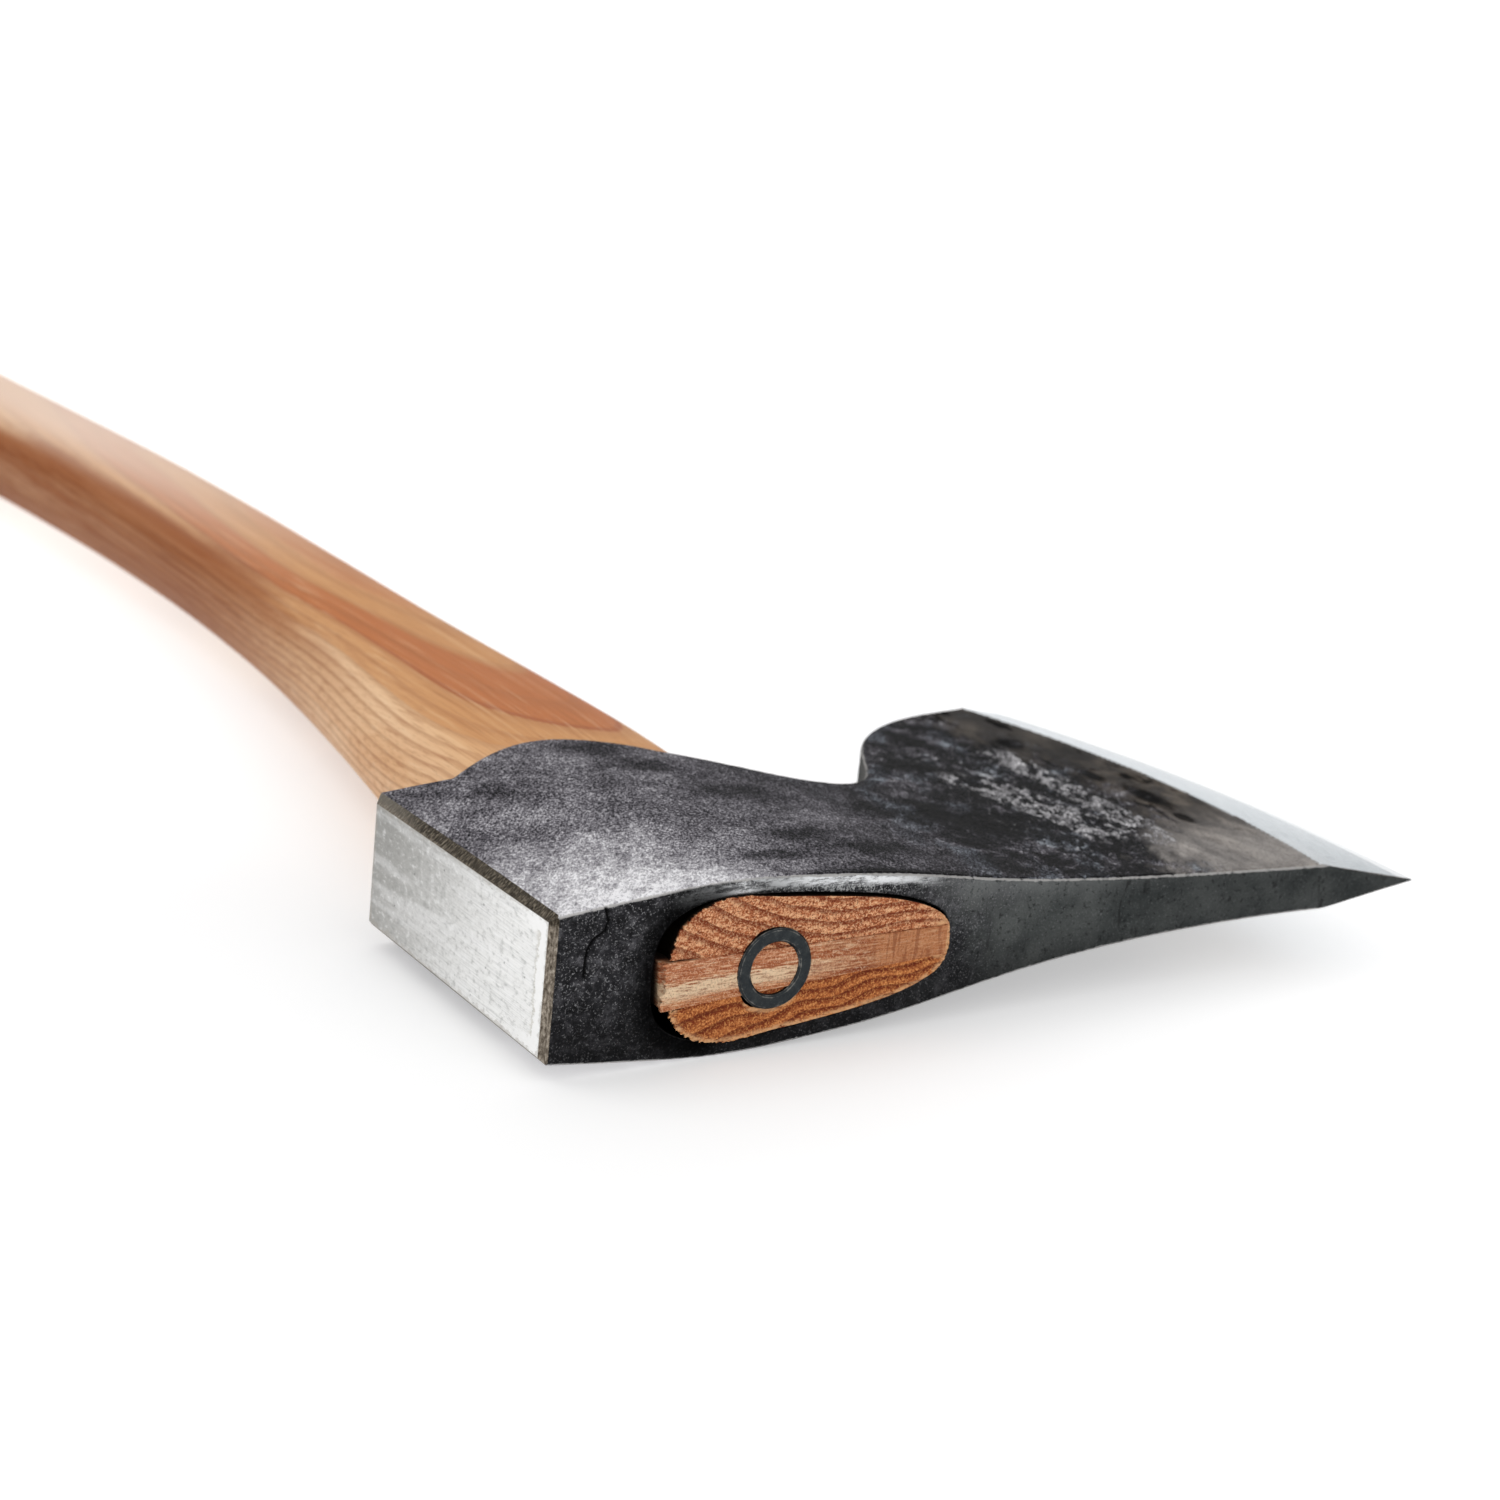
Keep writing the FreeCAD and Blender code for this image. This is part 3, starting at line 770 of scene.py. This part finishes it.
def handle_wood():
    """Oiled hickory: growth layers as long grain, and end grain on the tenon."""
    s = Shader("handle_wood")
    _, y, z = s.axes()
    end = s.value("end")
    fringe = s.value("fringe")
    ring = s.value("layer")
    strata = s.value("strata")
    facing = s.value("facing")
    butt = s.value("butt")

    fibre = s.noise((1.5, 0.02, 1.5), 4.0, 0.65)
    pores = s.noise((5.0, 0.1, 5.0), 2.0, 0.6)
    cloud = s.noise((0.05, 0.008, 0.05), 2.0, 0.5)

    # Long grain: pale outer layers, golden ones, then red-brown heartwood on top.
    stratum = strata + s.swing(fibre, 0.25)
    number = s.math("FLOOR", stratum)
    phase = s.math("FRACT", stratum)
    tone = s.node("ShaderNodeTexWhiteNoise", {"W": number}, noise_dimensions="1D").outputs["Value"]
    long = s.mix(tone, paint(236, 198, 158), paint(224, 178, 134))
    long = s.coat(long, s.step(cloud, 0.4, 0.65) * 0.8, 216, 166, 120)
    golden = s.step(stratum, -2.1, -2.0)
    long = s.coat(long, golden * 0.85, 206, 150, 98)
    heart = s.step(stratum, -0.04, 0.04) * s.step(stratum, 1.9, 1.6)
    long = s.coat(long, heart * 0.95, 190, 114, 62)
    second = s.step(stratum, 2.9, 3.2) * s.step(y, 110.0, 170.0)
    long = s.coat(long, second * 0.6, 196, 126, 84)
    rim_line = s.band(stratum, 0.06, 0.14, 0.04)
    long = s.coat(long, rim_line * 0.6, 160, 88, 50)
    late = s.step(phase, 0.45, 0.9) * (1.0 - s.step(phase, 0.94, 1.0))
    on_side = s.step(facing, -0.05, -0.5)
    long = s.coat(long, late * s.lerp(on_side, 0.26, 0.46), 158, 100, 60)
    long = s.coat(long, s.step(fibre, 0.5, 0.68) * 0.4, 168, 108, 68)
    long = s.coat(long, s.step(fibre, 0.46, 0.32) * 0.32, 240, 206, 168)
    long = s.coat(long, s.step(pores, 0.58, 0.7) * 0.35, 136, 84, 52)
    upward = s.step(facing, -0.55, -0.1)
    long = s.mix(upward * 0.8, long, s.tinted(long, (0.98, 0.9, 0.74)))
    # Painted shade: the shoulder and side facing the poll turn darker away from the head.
    away = s.step(y, 80.0, 220.0)
    streak = s.noise((0.28, 0.005, 0.28), 4.0, 0.7) - 0.5
    turned = facing + streak * 0.7
    shade = s.step(turned, -0.34, -0.82) * away * s.span(streak, -0.16, 0.12, 1.12, 0.82)
    long = s.mix(shade * 0.89, long, s.tinted(long, (0.38, 0.165, 0.045)))
    stripe = s.band(turned, -0.66, 0.24, 0.05) * away
    long = s.coat(long, stripe * 0.7, 158, 92, 48)
    # Painted highlight: its upper side pales along the middle of the handle.
    on_top = s.step(facing, -0.72, -0.05) * s.step(facing, 0.75, 0.35)
    along_middle = s.step(y, 150.0, 330.0) * s.step(y, 520.0, 400.0)
    long = s.coat(long, on_top * along_middle * 0.75, 250, 226, 208)
    # Painted shade: the wood inside the eye goes near black.
    inside_eye = s.step(y, 32.0, 27.0)
    long = s.coat(long, inside_eye * 0.99, 5, 4, 3)

    # End grain: orange-brown with dark late rings, fine fibre ends and a torn pale fringe.
    ring_phase = s.math("FRACT", ring)
    late_ring = s.step(ring_phase, 0.4, 0.92) * (1.0 - s.step(ring_phase, 0.95, 1.0))
    late_ring = s.lerp(butt, late_ring, late * 0.5)
    dots = s.noise((2.6, 0.4, 2.6), 3.0, 0.75)
    torn = s.noise((0.45, 0.1, 1.5), 5.0, 0.75, 0.4)
    lower = s.step(z, 1.5, -3.5)
    upper_cut = s.ramp(torn, (0.36, 140, 64, 36), (0.5, 206, 124, 80), (0.62, 244, 186, 140))
    lower_cut = s.ramp(torn, (0.38, 118, 48, 18), (0.5, 170, 86, 38), (0.6, 206, 128, 72))
    cut = s.mix(lower, upper_cut, lower_cut)
    cut = s.coat(cut, butt, 200, 140, 92)
    banded = s.ramp(ring_phase, (0.0, 190, 108, 58), (0.3, 202, 122, 68), (0.62, 138, 60, 30),
                    (0.9, 92, 34, 16), (1.0, 184, 104, 56))
    cut = s.mix(lower * (1.0 - butt) * 0.75, cut, banded)
    cut = s.coat(cut, late_ring * s.lerp(lower, 0.8, 0.2), 122, 48, 22)
    bright_dots = s.step(dots, 0.53, 0.59) * s.lerp(late_ring, 0.85, 0.35)
    cut = s.mix(bright_dots, cut, s.mix(lower, paint(252, 204, 158), paint(236, 164, 98)))
    cut = s.coat(cut, s.step(dots, 0.46, 0.39) * 0.75, 104, 42, 20)
    cut = s.coat(cut, fringe * s.step(torn, 0.36, 0.56) * 0.85, 236, 184, 134)
    colour = s.mix(end, long, cut)

    roughness = s.lerp(end, s.span(fibre, 0.3, 0.7, 0.46, 0.6), 0.8)
    long_height = fibre * 0.05 - pores * 0.05 + late * 0.02
    end_height = dots * 0.14 + torn * 0.3 - late_ring * 0.05
    normal = s.bump(s.lerp(end, long_height, end_height), 1.0)
    coat = (1.0 - end) * (1.0 - inside_eye) * 0.04
    return s.finish(colour, 0.0, roughness, normal, Coat_Weight=coat, Coat_Roughness=0.35,
                    Specular_IOR_Level=0.18)


def wedge_wood():
    """Sawn wedge: rosy streaks along X on its end, a cream strip, saw marks at its front."""
    s = Shader("wedge_wood")
    x, y, z = s.axes()
    end = s.value("end")
    across = s.value("across")
    bend = z + s.swing(s.noise((0.06, 0.1, 0.2), 2.0), 2.4)
    stack = s.join(x * 0.05, y * 0.2, bend * 1.3)
    streaks = s.noise(1.0, 5.0, 0.65, 0.2, at=stack)
    fine = s.noise((0.35, 1.0, 3.6), 4.0, 0.7)
    dots = s.noise((2.6, 0.4, 2.6), 3.0, 0.75)
    colour = s.ramp(streaks, (0.32, 140, 66, 34), (0.46, 186, 112, 70), (0.56, 212, 156, 114),
                    (0.68, 176, 98, 60))
    ragged = across + s.swing(fine, 1.1) + s.swing(streaks, 0.6)
    cream = s.step(ragged, 0.16, -0.02) * s.step(ragged, -0.72, -0.5) * s.step(x, 64.0, 40.0)
    colour = s.coat(colour, cream * 0.85, 242, 216, 180)
    rosy = s.step(ragged, 0.0, 0.25) * s.step(x, 60.0, 44.0)
    colour = s.coat(colour, rosy * 0.5, 196, 118, 80)
    low = s.step(ragged, -0.5, -0.75) * s.step(x, 60.0, 44.0)
    colour = s.coat(colour, low * 0.6, 198, 124, 78)
    colour = s.coat(colour, s.step(fine, 0.51, 0.6) * 0.65, 140, 70, 38)
    colour = s.coat(colour, s.step(fine, 0.46, 0.37) * 0.6, 250, 222, 186)
    colour = s.coat(colour, s.step(dots, 0.54, 0.62) * 0.5, 250, 214, 176)
    front = s.step(x, 62.0, 68.0)
    marks = s.noise((0.9, 0.2, 0.08), 2.0, 0.4)
    colour = s.coat(colour, front * 0.6, 204, 138, 90)
    colour = s.coat(colour, front * s.step(marks, 0.5, 0.58) * 0.55, 146, 80, 46)
    colour = s.coat(colour, s.step(dots, 0.46, 0.36) * 0.45, 110, 52, 26)
    colour = s.mix(s.step(x, 50.0, 60.0), colour, s.tinted(colour, (0.90, 0.86, 0.84)))
    sides = (1.0 - end) * s.step(y, -34.4, -33.8) * s.step(x, 22.2, 23.0)
    colour = s.coat(colour, sides * 0.6, 120, 66, 38)
    # Painted shade: below the end, the wedge's sides turn near black deeper in the slot.
    colour = s.coat(colour, s.step(y, -33.6, -31.2) * 0.95, 14, 9, 6)
    height = fine * 0.1 + dots * 0.08 + front * marks * 0.15
    return s.finish(colour, 0.0, 0.8, s.bump(height, 1.0), Specular_IOR_Level=0.3)


def ring_steel():
    """Blackened steel with thin worn edges that carry a painted highlight."""
    s = Shader("ring_steel")
    wear_and_highlight = s.value("wear_and_highlight")
    cloud = s.noise(0.6, 4.0, 0.6)
    fine = s.noise(3.0, 3.0, 0.6)
    colour = s.ramp(cloud, (0.3, 46, 50, 53), (0.55, 60, 64, 66), (0.8, 82, 86, 86))
    colour = s.coat(colour, s.step(fine, 0.58, 0.72) * 0.35, 112, 114, 114)
    # Edge wear with a painted highlight: thin bright lines along the ring's edges.
    line = s.step(wear_and_highlight + s.swing(cloud, 2.0), 0.75, 1.2)
    colour = s.coat(colour, line * 0.45, 166, 164, 158)
    height = cloud * 0.08 + fine * 0.05
    tint = (0.4, 0.4, 0.4, 1.0)
    return s.finish(colour, 1.0, s.span(cloud, 0.3, 0.7, 0.42, 0.56), s.bump(height, 1.0),
                    Specular_Tint=tint)


# ---------------------------------------------------------------- pieces

def build_head(node):
    """The forged head with hammered cheeks, a forging crack and its zones."""
    low, high = [np.array(corner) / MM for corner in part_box("axe_head")]
    points, triangles, normals = welded(node)

    def limit(middle):
        x, y, z = middle.T
        length = np.where(z > 0.0, 1.3, 1.9)
        length = np.where(y < RIM_TOP + 1.5, 0.8, length)
        crack_gap = line_distance(middle[:, [0, 2]], CRACK)
        length = np.where((y < RIM_TOP + 0.3) & (crack_gap < 1.2), 0.28, length)
        in_eye = (np.abs(z) < EYE_HALF_WIDTH) & (x > EYE_START) & (x < EYE_END)
        in_eye &= (y > RIM_TOP + 1.5) & (y < 60.0)
        return np.where(in_eye, 5.0, length)

    points, triangles, crease = refine(points, triangles, normals, limit)
    points = even_out(points, triangles, crease, 6)
    shape = point_normals(points, triangles)
    x, y, z = points.T

    # Zones by face: the poll face, its chamfers and the bevels are ground flat.
    corners = points[triangles]
    flat = unit(np.cross(corners[:, 1] - corners[:, 0], corners[:, 2] - corners[:, 0]))
    centre = corners.mean(axis=1)
    poll_face = (flat[:, 0] < -0.97) & (centre[:, 0] < 0.5)
    chamfer_face = (flat[:, 0] < -0.55) & (flat[:, 0] > -0.85) & (centre[:, 0] < 2.5)
    bevel_start = arc_reach(BEVEL_ARC, centre[:, 1])
    bevel_face = (centre[:, 0] > bevel_start - 0.3) & (np.abs(flat[:, 2]) > 0.9)
    kind = np.zeros(len(triangles), int)
    kind[poll_face | chamfer_face] = 1
    kind[bevel_face] = 2

    ground = np.zeros(len(points))
    ground[triangles[kind > 0].ravel()] = 1.0
    rim = soft_step(np.abs(shape[:, 2]), 0.75, 0.45)
    diagonal = soft_step(np.abs(shape[:, 2]), 0.2, 0.5) * soft_step(np.abs(shape[:, 2]), 0.93, 0.75)
    # The eye's wall faces the eye's middle; the rim beside its poll end lies in its shadow. Both are
    # painted as shade, near black and matte.
    by_eye = (np.abs(z) < EYE_HALF_WIDTH + 0.4) & (x > EYE_START) & (x < EYE_END)
    outside = 1.0 - (by_eye & (y > RIM_TOP + 1.5))
    inward = shape[:, 0] * (EYE_MIDDLE - x) / EYE_HALF_LENGTH - shape[:, 2] * z / EYE_HALF_WIDTH
    wall = (inward > 0.25) & by_eye
    mouth = points[wall & (y < RIM_TOP + 0.6)]
    hollow_shade = wall * soft_step(y, RIM_TOP - 0.5, RIM_TOP + 0.3)
    mouth_gap = nearest_distance(points, mouth)
    sunk = 0.9 * soft_step(mouth_gap, 6.5, 0.8) * soft_step(x, 56.0, 32.0) * (y < RIM_TOP + 0.2)
    hollow_shade = np.maximum(hollow_shade, sunk)
    wear_and_highlight = blurred(diagonal * outside * (1.0 - ground), triangles, 2)
    wear_and_highlight = wear_and_highlight * soft_step(mouth_gap, 0.8, 2.4)

    bevel_points = points[np.unique(triangles[bevel_face])]
    bevel_line = arc_reach(BEVEL_ARC, bevel_points[:, 1])
    start = bevel_points[np.abs(bevel_points[:, 0] - bevel_line) < 0.6]
    to_bevel = nearest_distance(points, start)
    to_edge = np.maximum(arc_reach(EDGE_ARC, y) - x, 0.0)
    on_chamfer = points[np.unique(triangles[chamfer_face])]
    to_face_edge = nearest_distance(points, on_chamfer[on_chamfer[:, 0] < 0.05])

    on_top = soft_step(-shape[:, 1], 0.6, 0.9) * (y < RIM_TOP + 2.0)
    crack_gap = line_distance(points[:, [0, 2]], CRACK)
    groove = on_top * soft_step(crack_gap, 0.42, 0.12) * soft_step(z, 0.8, 3.0)
    # The lip: a band on the top face beside the upper cheek, where the highlight is painted.
    lip_middle = np.interp(x, *zip(*LIP_HIGHLIGHT))
    lip = soft_step(np.abs(z - lip_middle), 1.7, 0.5) * on_top
    lip *= soft_step(x, 22.0, 34.0) * soft_step(x, 84.0, 66.0)

    # Forging marks: long swells, hammer texture and pits; none on ground faces.
    forged = 1.0 - blurred(ground, triangles, 3)
    forged *= soft_step(nearest_distance(points, points[crease.ravel()]), 0.0, 2.5)
    swell = fractal(points, (0.045, 0.045, 0.045), (3.1, 7.7, 1.3), 2.0)
    hammer = fractal(points, (0.16, 0.16, 0.16), (11.0, 5.0, 2.0), 3.0)
    rough = fractal(points, (0.7, 0.7, 0.7), (1.0, 9.0, 4.0), 3.0)
    pits = soft_step(rough, 0.30, 0.62) * rim
    near_bevel = soft_step(to_bevel, 4.0, 24.0)
    height = (0.16 * swell + 0.10 * hammer * near_bevel) * forged
    height += 0.035 * rough * forged * (0.4 + 0.9 * rim) * near_bevel
    height -= 0.12 * pits * forged
    height -= 0.38 * groove
    height -= 0.10 * wear_and_highlight * np.maximum(rough, 0.0)
    points = points + height[:, None] * shape
    points = np.clip(points, low - MARGIN, high + MARGIN)

    values = {"rim": rim, "wear_and_highlight": wear_and_highlight, "to_bevel": to_bevel, "to_edge": to_edge, "lip": lip,
              "groove": groove, "to_face_edge": to_face_edge, "hollow_shade": hollow_shade}
    materials = [forged_steel(), ground_poll(), ground_bevel()]
    piece = make_piece("forged_head", "axe_head", points, triangles, crease,
                       values, materials, kind)
    layer = piece.data.attributes.new("chamfer", "FLOAT", "FACE")
    layer.data.foreach_set("value", chamfer_face.astype(np.float32))


def growth_layers(points):
    """Place in the stack of growth layers, in layers, for points near the tenon's end."""
    x, _, z = points.T
    bend = 0.5 * fractal(points, (0.05, 0.007, 0.05), (9.0, 5.0, 1.0), 2.0)
    lower = soft_step(z, 0.5, -4.0)
    upper = soft_step(z, -0.5, 4.0)
    waves = 0.62 * np.sin((x - 14.0) / 2.7 + 0.30 * z) * soft_step(x, 30.0, 52.0) * lower
    slope = 0.26 * (np.minimum(x, 47.0) - 47.0) * upper
    roll = 0.8 * np.sin((x - 47.0) / 5.5) * soft_step(x, 47.0, 56.0) * upper
    crowd = 0.30 * z * (x - 50.0) / 28.0
    fan = 0.09 * (x - 50.0) * lower
    height = z + bend + waves + slope + roll + crowd - fan
    return (height - RING_BASE) / RING_STEP


def grown_strata(points):
    """Place in the stack of growth layers along the handle, in layers from the heartwood."""
    x, y, z = points.T
    drift = 1.0 * fractal(points, (0.012, 0.006, 0.02), (4.0, 2.0, 6.0), 2.0)
    ripple = 0.35 * fractal(points, (0.05, 0.02, 0.05), (9.0, 5.0, 1.0), 2.0)
    tilt = 0.16 + 0.10 * soft_step(y, 80.0, 140.0)
    closing = 1.5 * np.exp(-np.maximum(y - 60.0, -6.0) / 16.0)
    rise = 3.9 * soft_step(y, 48.0, 240.0)
    swing = 0.035 * (np.maximum(y, 170.0) - 170.0)
    height = z + tilt * (x - 50.0) - closing + rise - swing
    height = height + 0.6 * drift * soft_step(y, 60.0, 120.0) + 0.8 * ripple
    return (height - HEART_BASE) / STRATA_STEP


def build_handle(node):
    """The handle with a rough sawn tenon end."""
    points, triangles, normals = welded(node)
    end_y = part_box("handle")[0].y / MM

    def limit(middle):
        y = middle[:, 1]
        length = np.where(y > 320.0, 2.8, 2.0)
        length = np.where(y < 26.0, 5.0, length)
        length = np.where(y < end_y + 4.0, 1.2, length)
        return np.where(y < end_y + 0.1, 0.42, length)

    points, triangles, crease = refine(points, triangles, normals, limit)
    points = even_out(points, triangles, crease, 6)
    shape = point_normals(points, triangles)
    x, y, z = points.T
    end = (y < end_y + 0.05).astype(float)
    border = points[crease.ravel()]
    border = border[border[:, 1] < end_y + 0.05]
    outline = border[(np.abs(border[:, 2]) > 6.5) | (border[:, 0] < 26.0) | (border[:, 0] > 79.0)]
    gap = nearest_distance(points, outline)
    fringe = np.maximum(soft_step(z, 0.0, -5.0), soft_step(x, 74.0, 80.0))
    fringe = fringe * soft_step(gap, 1.1, 0.3)
    torn = fractal(points, (0.5, 0.2, 1.3), (2.0, 4.0, 8.0), 3.0)
    fine = fractal(points, (1.6, 0.2, 2.4), (5.0, 1.0, 3.0), 3.0)
    inner = soft_step(nearest_distance(points, border), 0.0, 0.5)
    layer = growth_layers(points)
    phase = np.mod(layer, 1.0)
    late = soft_step(phase, 0.40, 0.92) * (1.0 - soft_step(phase, 0.95, 1.0))
    height = end * (0.14 * torn + 0.10 * fine - 0.08 * late) * (0.35 + 0.65 * inner)
    points[:, 1] -= height
    swell = fractal(points, (0.03, 0.012, 0.03), (7.0, 3.0, 5.0), 2.0)
    sides = soft_step(y, 60.0, 90.0)
    points = points + (0.18 * swell * sides)[:, None] * shape
    # The wedges spread the poll end of the tenon into a slightly mushroomed, frayed rim.
    spread = soft_step(gap, 3.6, 0.3) * soft_step(x, 46.0, 31.0) * (y < end_y + 5.0)
    spread = spread * (1.2 + 0.5 * soft_step(gap, 1.0, 0.2) * fine)
    outward = unit(np.stack([(x - 50.0) / 25.0, np.zeros(len(x)), z / 12.0], axis=1))
    points = points + spread[:, None] * outward
    ragged = end * fringe * fine
    points[:, 0] += 0.22 * ragged * np.sign(x - 52.0) * soft_step(np.abs(x - 52.0), 24.0, 29.0)
    butt = soft_step(shape[:, 1], 0.55, 0.75) * (y > 640.0)
    values = {"end": np.maximum(end, butt), "fringe": fringe, "layer": layer, "butt": butt,
              "strata": grown_strata(points), "facing": shape[:, 0]}
    make_piece("wooden_handle", "handle", points, triangles, crease,
               values, [handle_wood()])


def build_wedge(node):
    """The wooden wedge with a torn end face and a ragged back."""
    points, triangles, normals = welded(node)
    low, high = [np.array(corner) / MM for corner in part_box("wooden_wedge")]

    def limit(middle):
        y = middle[:, 1]
        length = np.where(y > low[1] + 3.0, 4.0, 0.5)
        return np.where(y < low[1] + 0.1, 0.32, length)

    points, triangles, crease = refine(points, triangles, normals, limit)
    points = even_out(points, triangles, crease, 4)
    x, y, z = points.T
    end = soft_step(y, low[1] + 0.4, low[1] + 0.02)
    torn = fractal(points, (0.25, 0.2, 1.6), (2.0, 4.0, 8.0), 3.0)
    fine = fractal(points, (0.8, 0.2, 3.0), (6.0, 1.0, 3.0), 3.0)
    points[:, 1] += end * (0.14 * torn + 0.08 * fine + 0.22 * soft_step(x, 24.0, 34.0))
    back = soft_step(x, low[0] + 1.6, low[0] + 0.2) * soft_step(y, low[1] + 2.5, low[1] + 0.5)
    notch = fractal(points * np.array([0.0, 0.3, 1.0]), (1.0, 1.0, 0.9), (3.0, 2.0, 6.0), 2.0)
    notch = 0.55 * np.sign(notch) * soft_step(np.abs(notch), 0.02, 0.2)
    points[:, 0] += back * (notch + 0.25 * fine)
    # Place across the wedge's own width, -1 at its lower side and 1 at its upper side.
    stations = np.linspace(low[0], high[0], 40)
    reach = 1.2 * (stations[1] - stations[0])
    lower, upper = [np.array([pick(z[np.abs(x - station) < reach]) for station in stations])
                    for pick in (np.min, np.max)]
    middle = np.interp(x, stations, 0.5 * (lower + upper))
    across = (z - middle) / np.interp(x, stations, np.maximum(0.5 * (upper - lower), 0.3))
    make_piece("split_wedge", "wooden_wedge", points, triangles, crease,
               {"end": end, "across": across}, [wedge_wood()])


def build_ring(node):
    """The ring wedge with dented edges, and its worn edges marked for a painted highlight."""
    points, triangles, normals = welded(node)
    low = np.array(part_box("ring_wedge")[0]) / MM

    def limit(middle):
        return np.where(middle[:, 1] < low[1] + 1.5, 0.35, 1.5)

    points, triangles, crease = refine(points, triangles, normals, limit)
    points = even_out(points, triangles, crease, 4)
    shape = point_normals(points, triangles)
    gap = nearest_distance(points, points[crease.ravel()])
    wear_and_highlight = soft_step(gap, 0.45, 0.05) * (points[:, 1] < low[1] + 0.6)
    dents = fractal(points, (0.4, 0.4, 0.4), (1.0, 2.0, 3.0), 2.0)
    top = soft_step(points[:, 1], low[1] + 0.8, low[1])
    height = top * (0.10 * dents - 0.05)
    points = points + height[:, None] * shape
    make_piece("steel_ring_wedge", "ring_wedge", points, triangles, crease,
               {"wear_and_highlight": wear_and_highlight}, [ring_steel()])


# ---------------------------------------------------------------- stage

def build_stage(low):
    """A wide pale floor, a soft surrounding and three softboxes."""
    mesh = bpy.data.meshes.new("floor")
    reach, level = 40.0, low.z - 0.0001
    corners = [(-reach, -reach, level), (reach, -reach, level), (reach, reach, level),
               (-reach, reach, level)]
    mesh.from_pydata(corners, [], [(0, 1, 2, 3)])
    floor = bpy.data.objects.new("floor", mesh)
    bpy.context.scene.collection.objects.link(floor)
    s = Shader("pale_floor")
    tone = s.noise(0.004, 2.0)
    colour = s.mix(s.span(tone, 0.3, 0.7, 0.0, 1.0), (0.62, 0.62, 0.625, 1.0), (0.65, 0.65, 0.65, 1.0))
    grain = s.bump(s.noise(0.2, 3.0), 0.02)
    x, y, _ = s.axes()
    away = s.math("SQRT", s.math("POWER", x, 2.0) + s.math("POWER", y, 2.0))
    glow = s.span(away, 450.0, 2500.0, 0.38, 0.9)
    # The floor away from the head washes out to white for the camera, as in a light tent.
    seen = Value(s, s.node("ShaderNodeLightPath", {}).outputs["Is Camera Ray"])
    lift = seen * s.span(away, 70.0, 330.0, 0.03, 0.32)
    white = (1.0, 1.0, 1.0, 1.0)
    mesh.materials.append(s.finish(colour, 0.0, 0.6, grain, Specular_IOR_Level=0.0,
                                   Emission_Color=white, Emission_Strength=glow + lift))

    world = bpy.data.worlds.new("studio")
    bpy.context.scene.world = world
    world.use_nodes = True
    tree = world.node_tree
    tree.nodes.clear()
    place = tree.nodes.new("ShaderNodeTexCoord")
    parts = tree.nodes.new("ShaderNodeSeparateXYZ")
    ramp = tree.nodes.new("ShaderNodeValToRGB")
    light = tree.nodes.new("ShaderNodeBackground")
    output = tree.nodes.new("ShaderNodeOutputWorld")
    tree.links.new(place.outputs["Generated"], parts.inputs[0])
    tree.links.new(parts.outputs[2], ramp.inputs[0])
    tree.links.new(ramp.outputs[0], light.inputs[0])
    tree.links.new(light.outputs[0], output.inputs[0])
    light.inputs[1].default_value = 0.8
    stops = [(0.0, 1.2), (0.06, 1.2), (0.13, 0.35), (0.34, 0.35), (0.55, 1.0), (1.0, 1.1)]
    fill_ramp(ramp, [(height, (glow, glow, glow, 1.0)) for height, glow in stops])

    target = Vector((0.06, 0.0, 0.0))
    for name, place, size, power in (
        ("key", (-0.7, 0.5, 1.3), 0.9, 5.0),
        ("back", (0.85, 1.4, 0.95), 1.2, 2.0),
        ("front", (0.4, -1.3, 0.9), 1.0, 2.0),
    ):
        lamp = bpy.data.lights.new(name, "AREA")
        lamp.energy = power
        lamp.size = size
        holder = bpy.data.objects.new(name, lamp)
        holder.location = place
        holder.rotation_mode = "QUATERNION"
        holder.rotation_quaternion = (target - Vector(place)).to_track_quat("-Z", "Y")
        bpy.context.scene.collection.objects.link(holder)
    bpy.context.scene.view_settings.view_transform = "Standard"


def build_camera(focus):
    """The camera, aimed by azimuth, elevation and roll, focused on the ring wedge."""
    azimuth, elevation, roll = [
        math.radians(angle) for angle in (CAMERA_AZIMUTH, CAMERA_ELEVATION, CAMERA_ROLL)
    ]
    back = Vector((math.sin(azimuth) * math.cos(elevation),
                   -math.cos(azimuth) * math.cos(elevation), math.sin(elevation)))
    level = Vector((math.cos(azimuth), math.sin(azimuth), 0.0))
    upright = back.cross(level)
    right = level * math.cos(roll) + upright * math.sin(roll)
    up = back.cross(right)
    data = bpy.data.cameras.new("camera")
    data.lens = CAMERA_LENS
    data.sensor_width = CAMERA_SENSOR
    data.clip_start = 0.01
    data.dof.use_dof = True
    data.dof.focus_object = focus
    data.dof.aperture_fstop = CAMERA_FSTOP
    camera = bpy.data.objects.new("camera", data)
    place = Vector(CAMERA_PLACE) * MM
    turn = Matrix((right, up, back)).transposed().to_4x4()
    camera.matrix_world = Matrix.Translation(place) @ turn
    bpy.context.scene.collection.objects.link(camera)
    bpy.context.scene.camera = camera


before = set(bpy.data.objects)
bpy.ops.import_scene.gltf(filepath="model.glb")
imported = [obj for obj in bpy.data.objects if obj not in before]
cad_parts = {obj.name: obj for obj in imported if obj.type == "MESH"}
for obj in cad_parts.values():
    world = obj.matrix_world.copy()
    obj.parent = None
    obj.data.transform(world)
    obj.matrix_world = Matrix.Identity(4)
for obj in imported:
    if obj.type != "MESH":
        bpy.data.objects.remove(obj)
cad_low, cad_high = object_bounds()

build_head(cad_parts["axe_head"])
build_handle(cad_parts["handle"])
build_wedge(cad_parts["wooden_wedge"])
build_ring(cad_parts["ring_wedge"])

ring_low, ring_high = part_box("ring_wedge")
focus_point = bpy.data.objects.new("focus", None)
focus_point.location = (ring_low + ring_high) / 2.0
focus_point.location.y = ring_low.y
bpy.context.scene.collection.objects.link(focus_point)

build_stage(cad_low)
build_camera(focus_point)
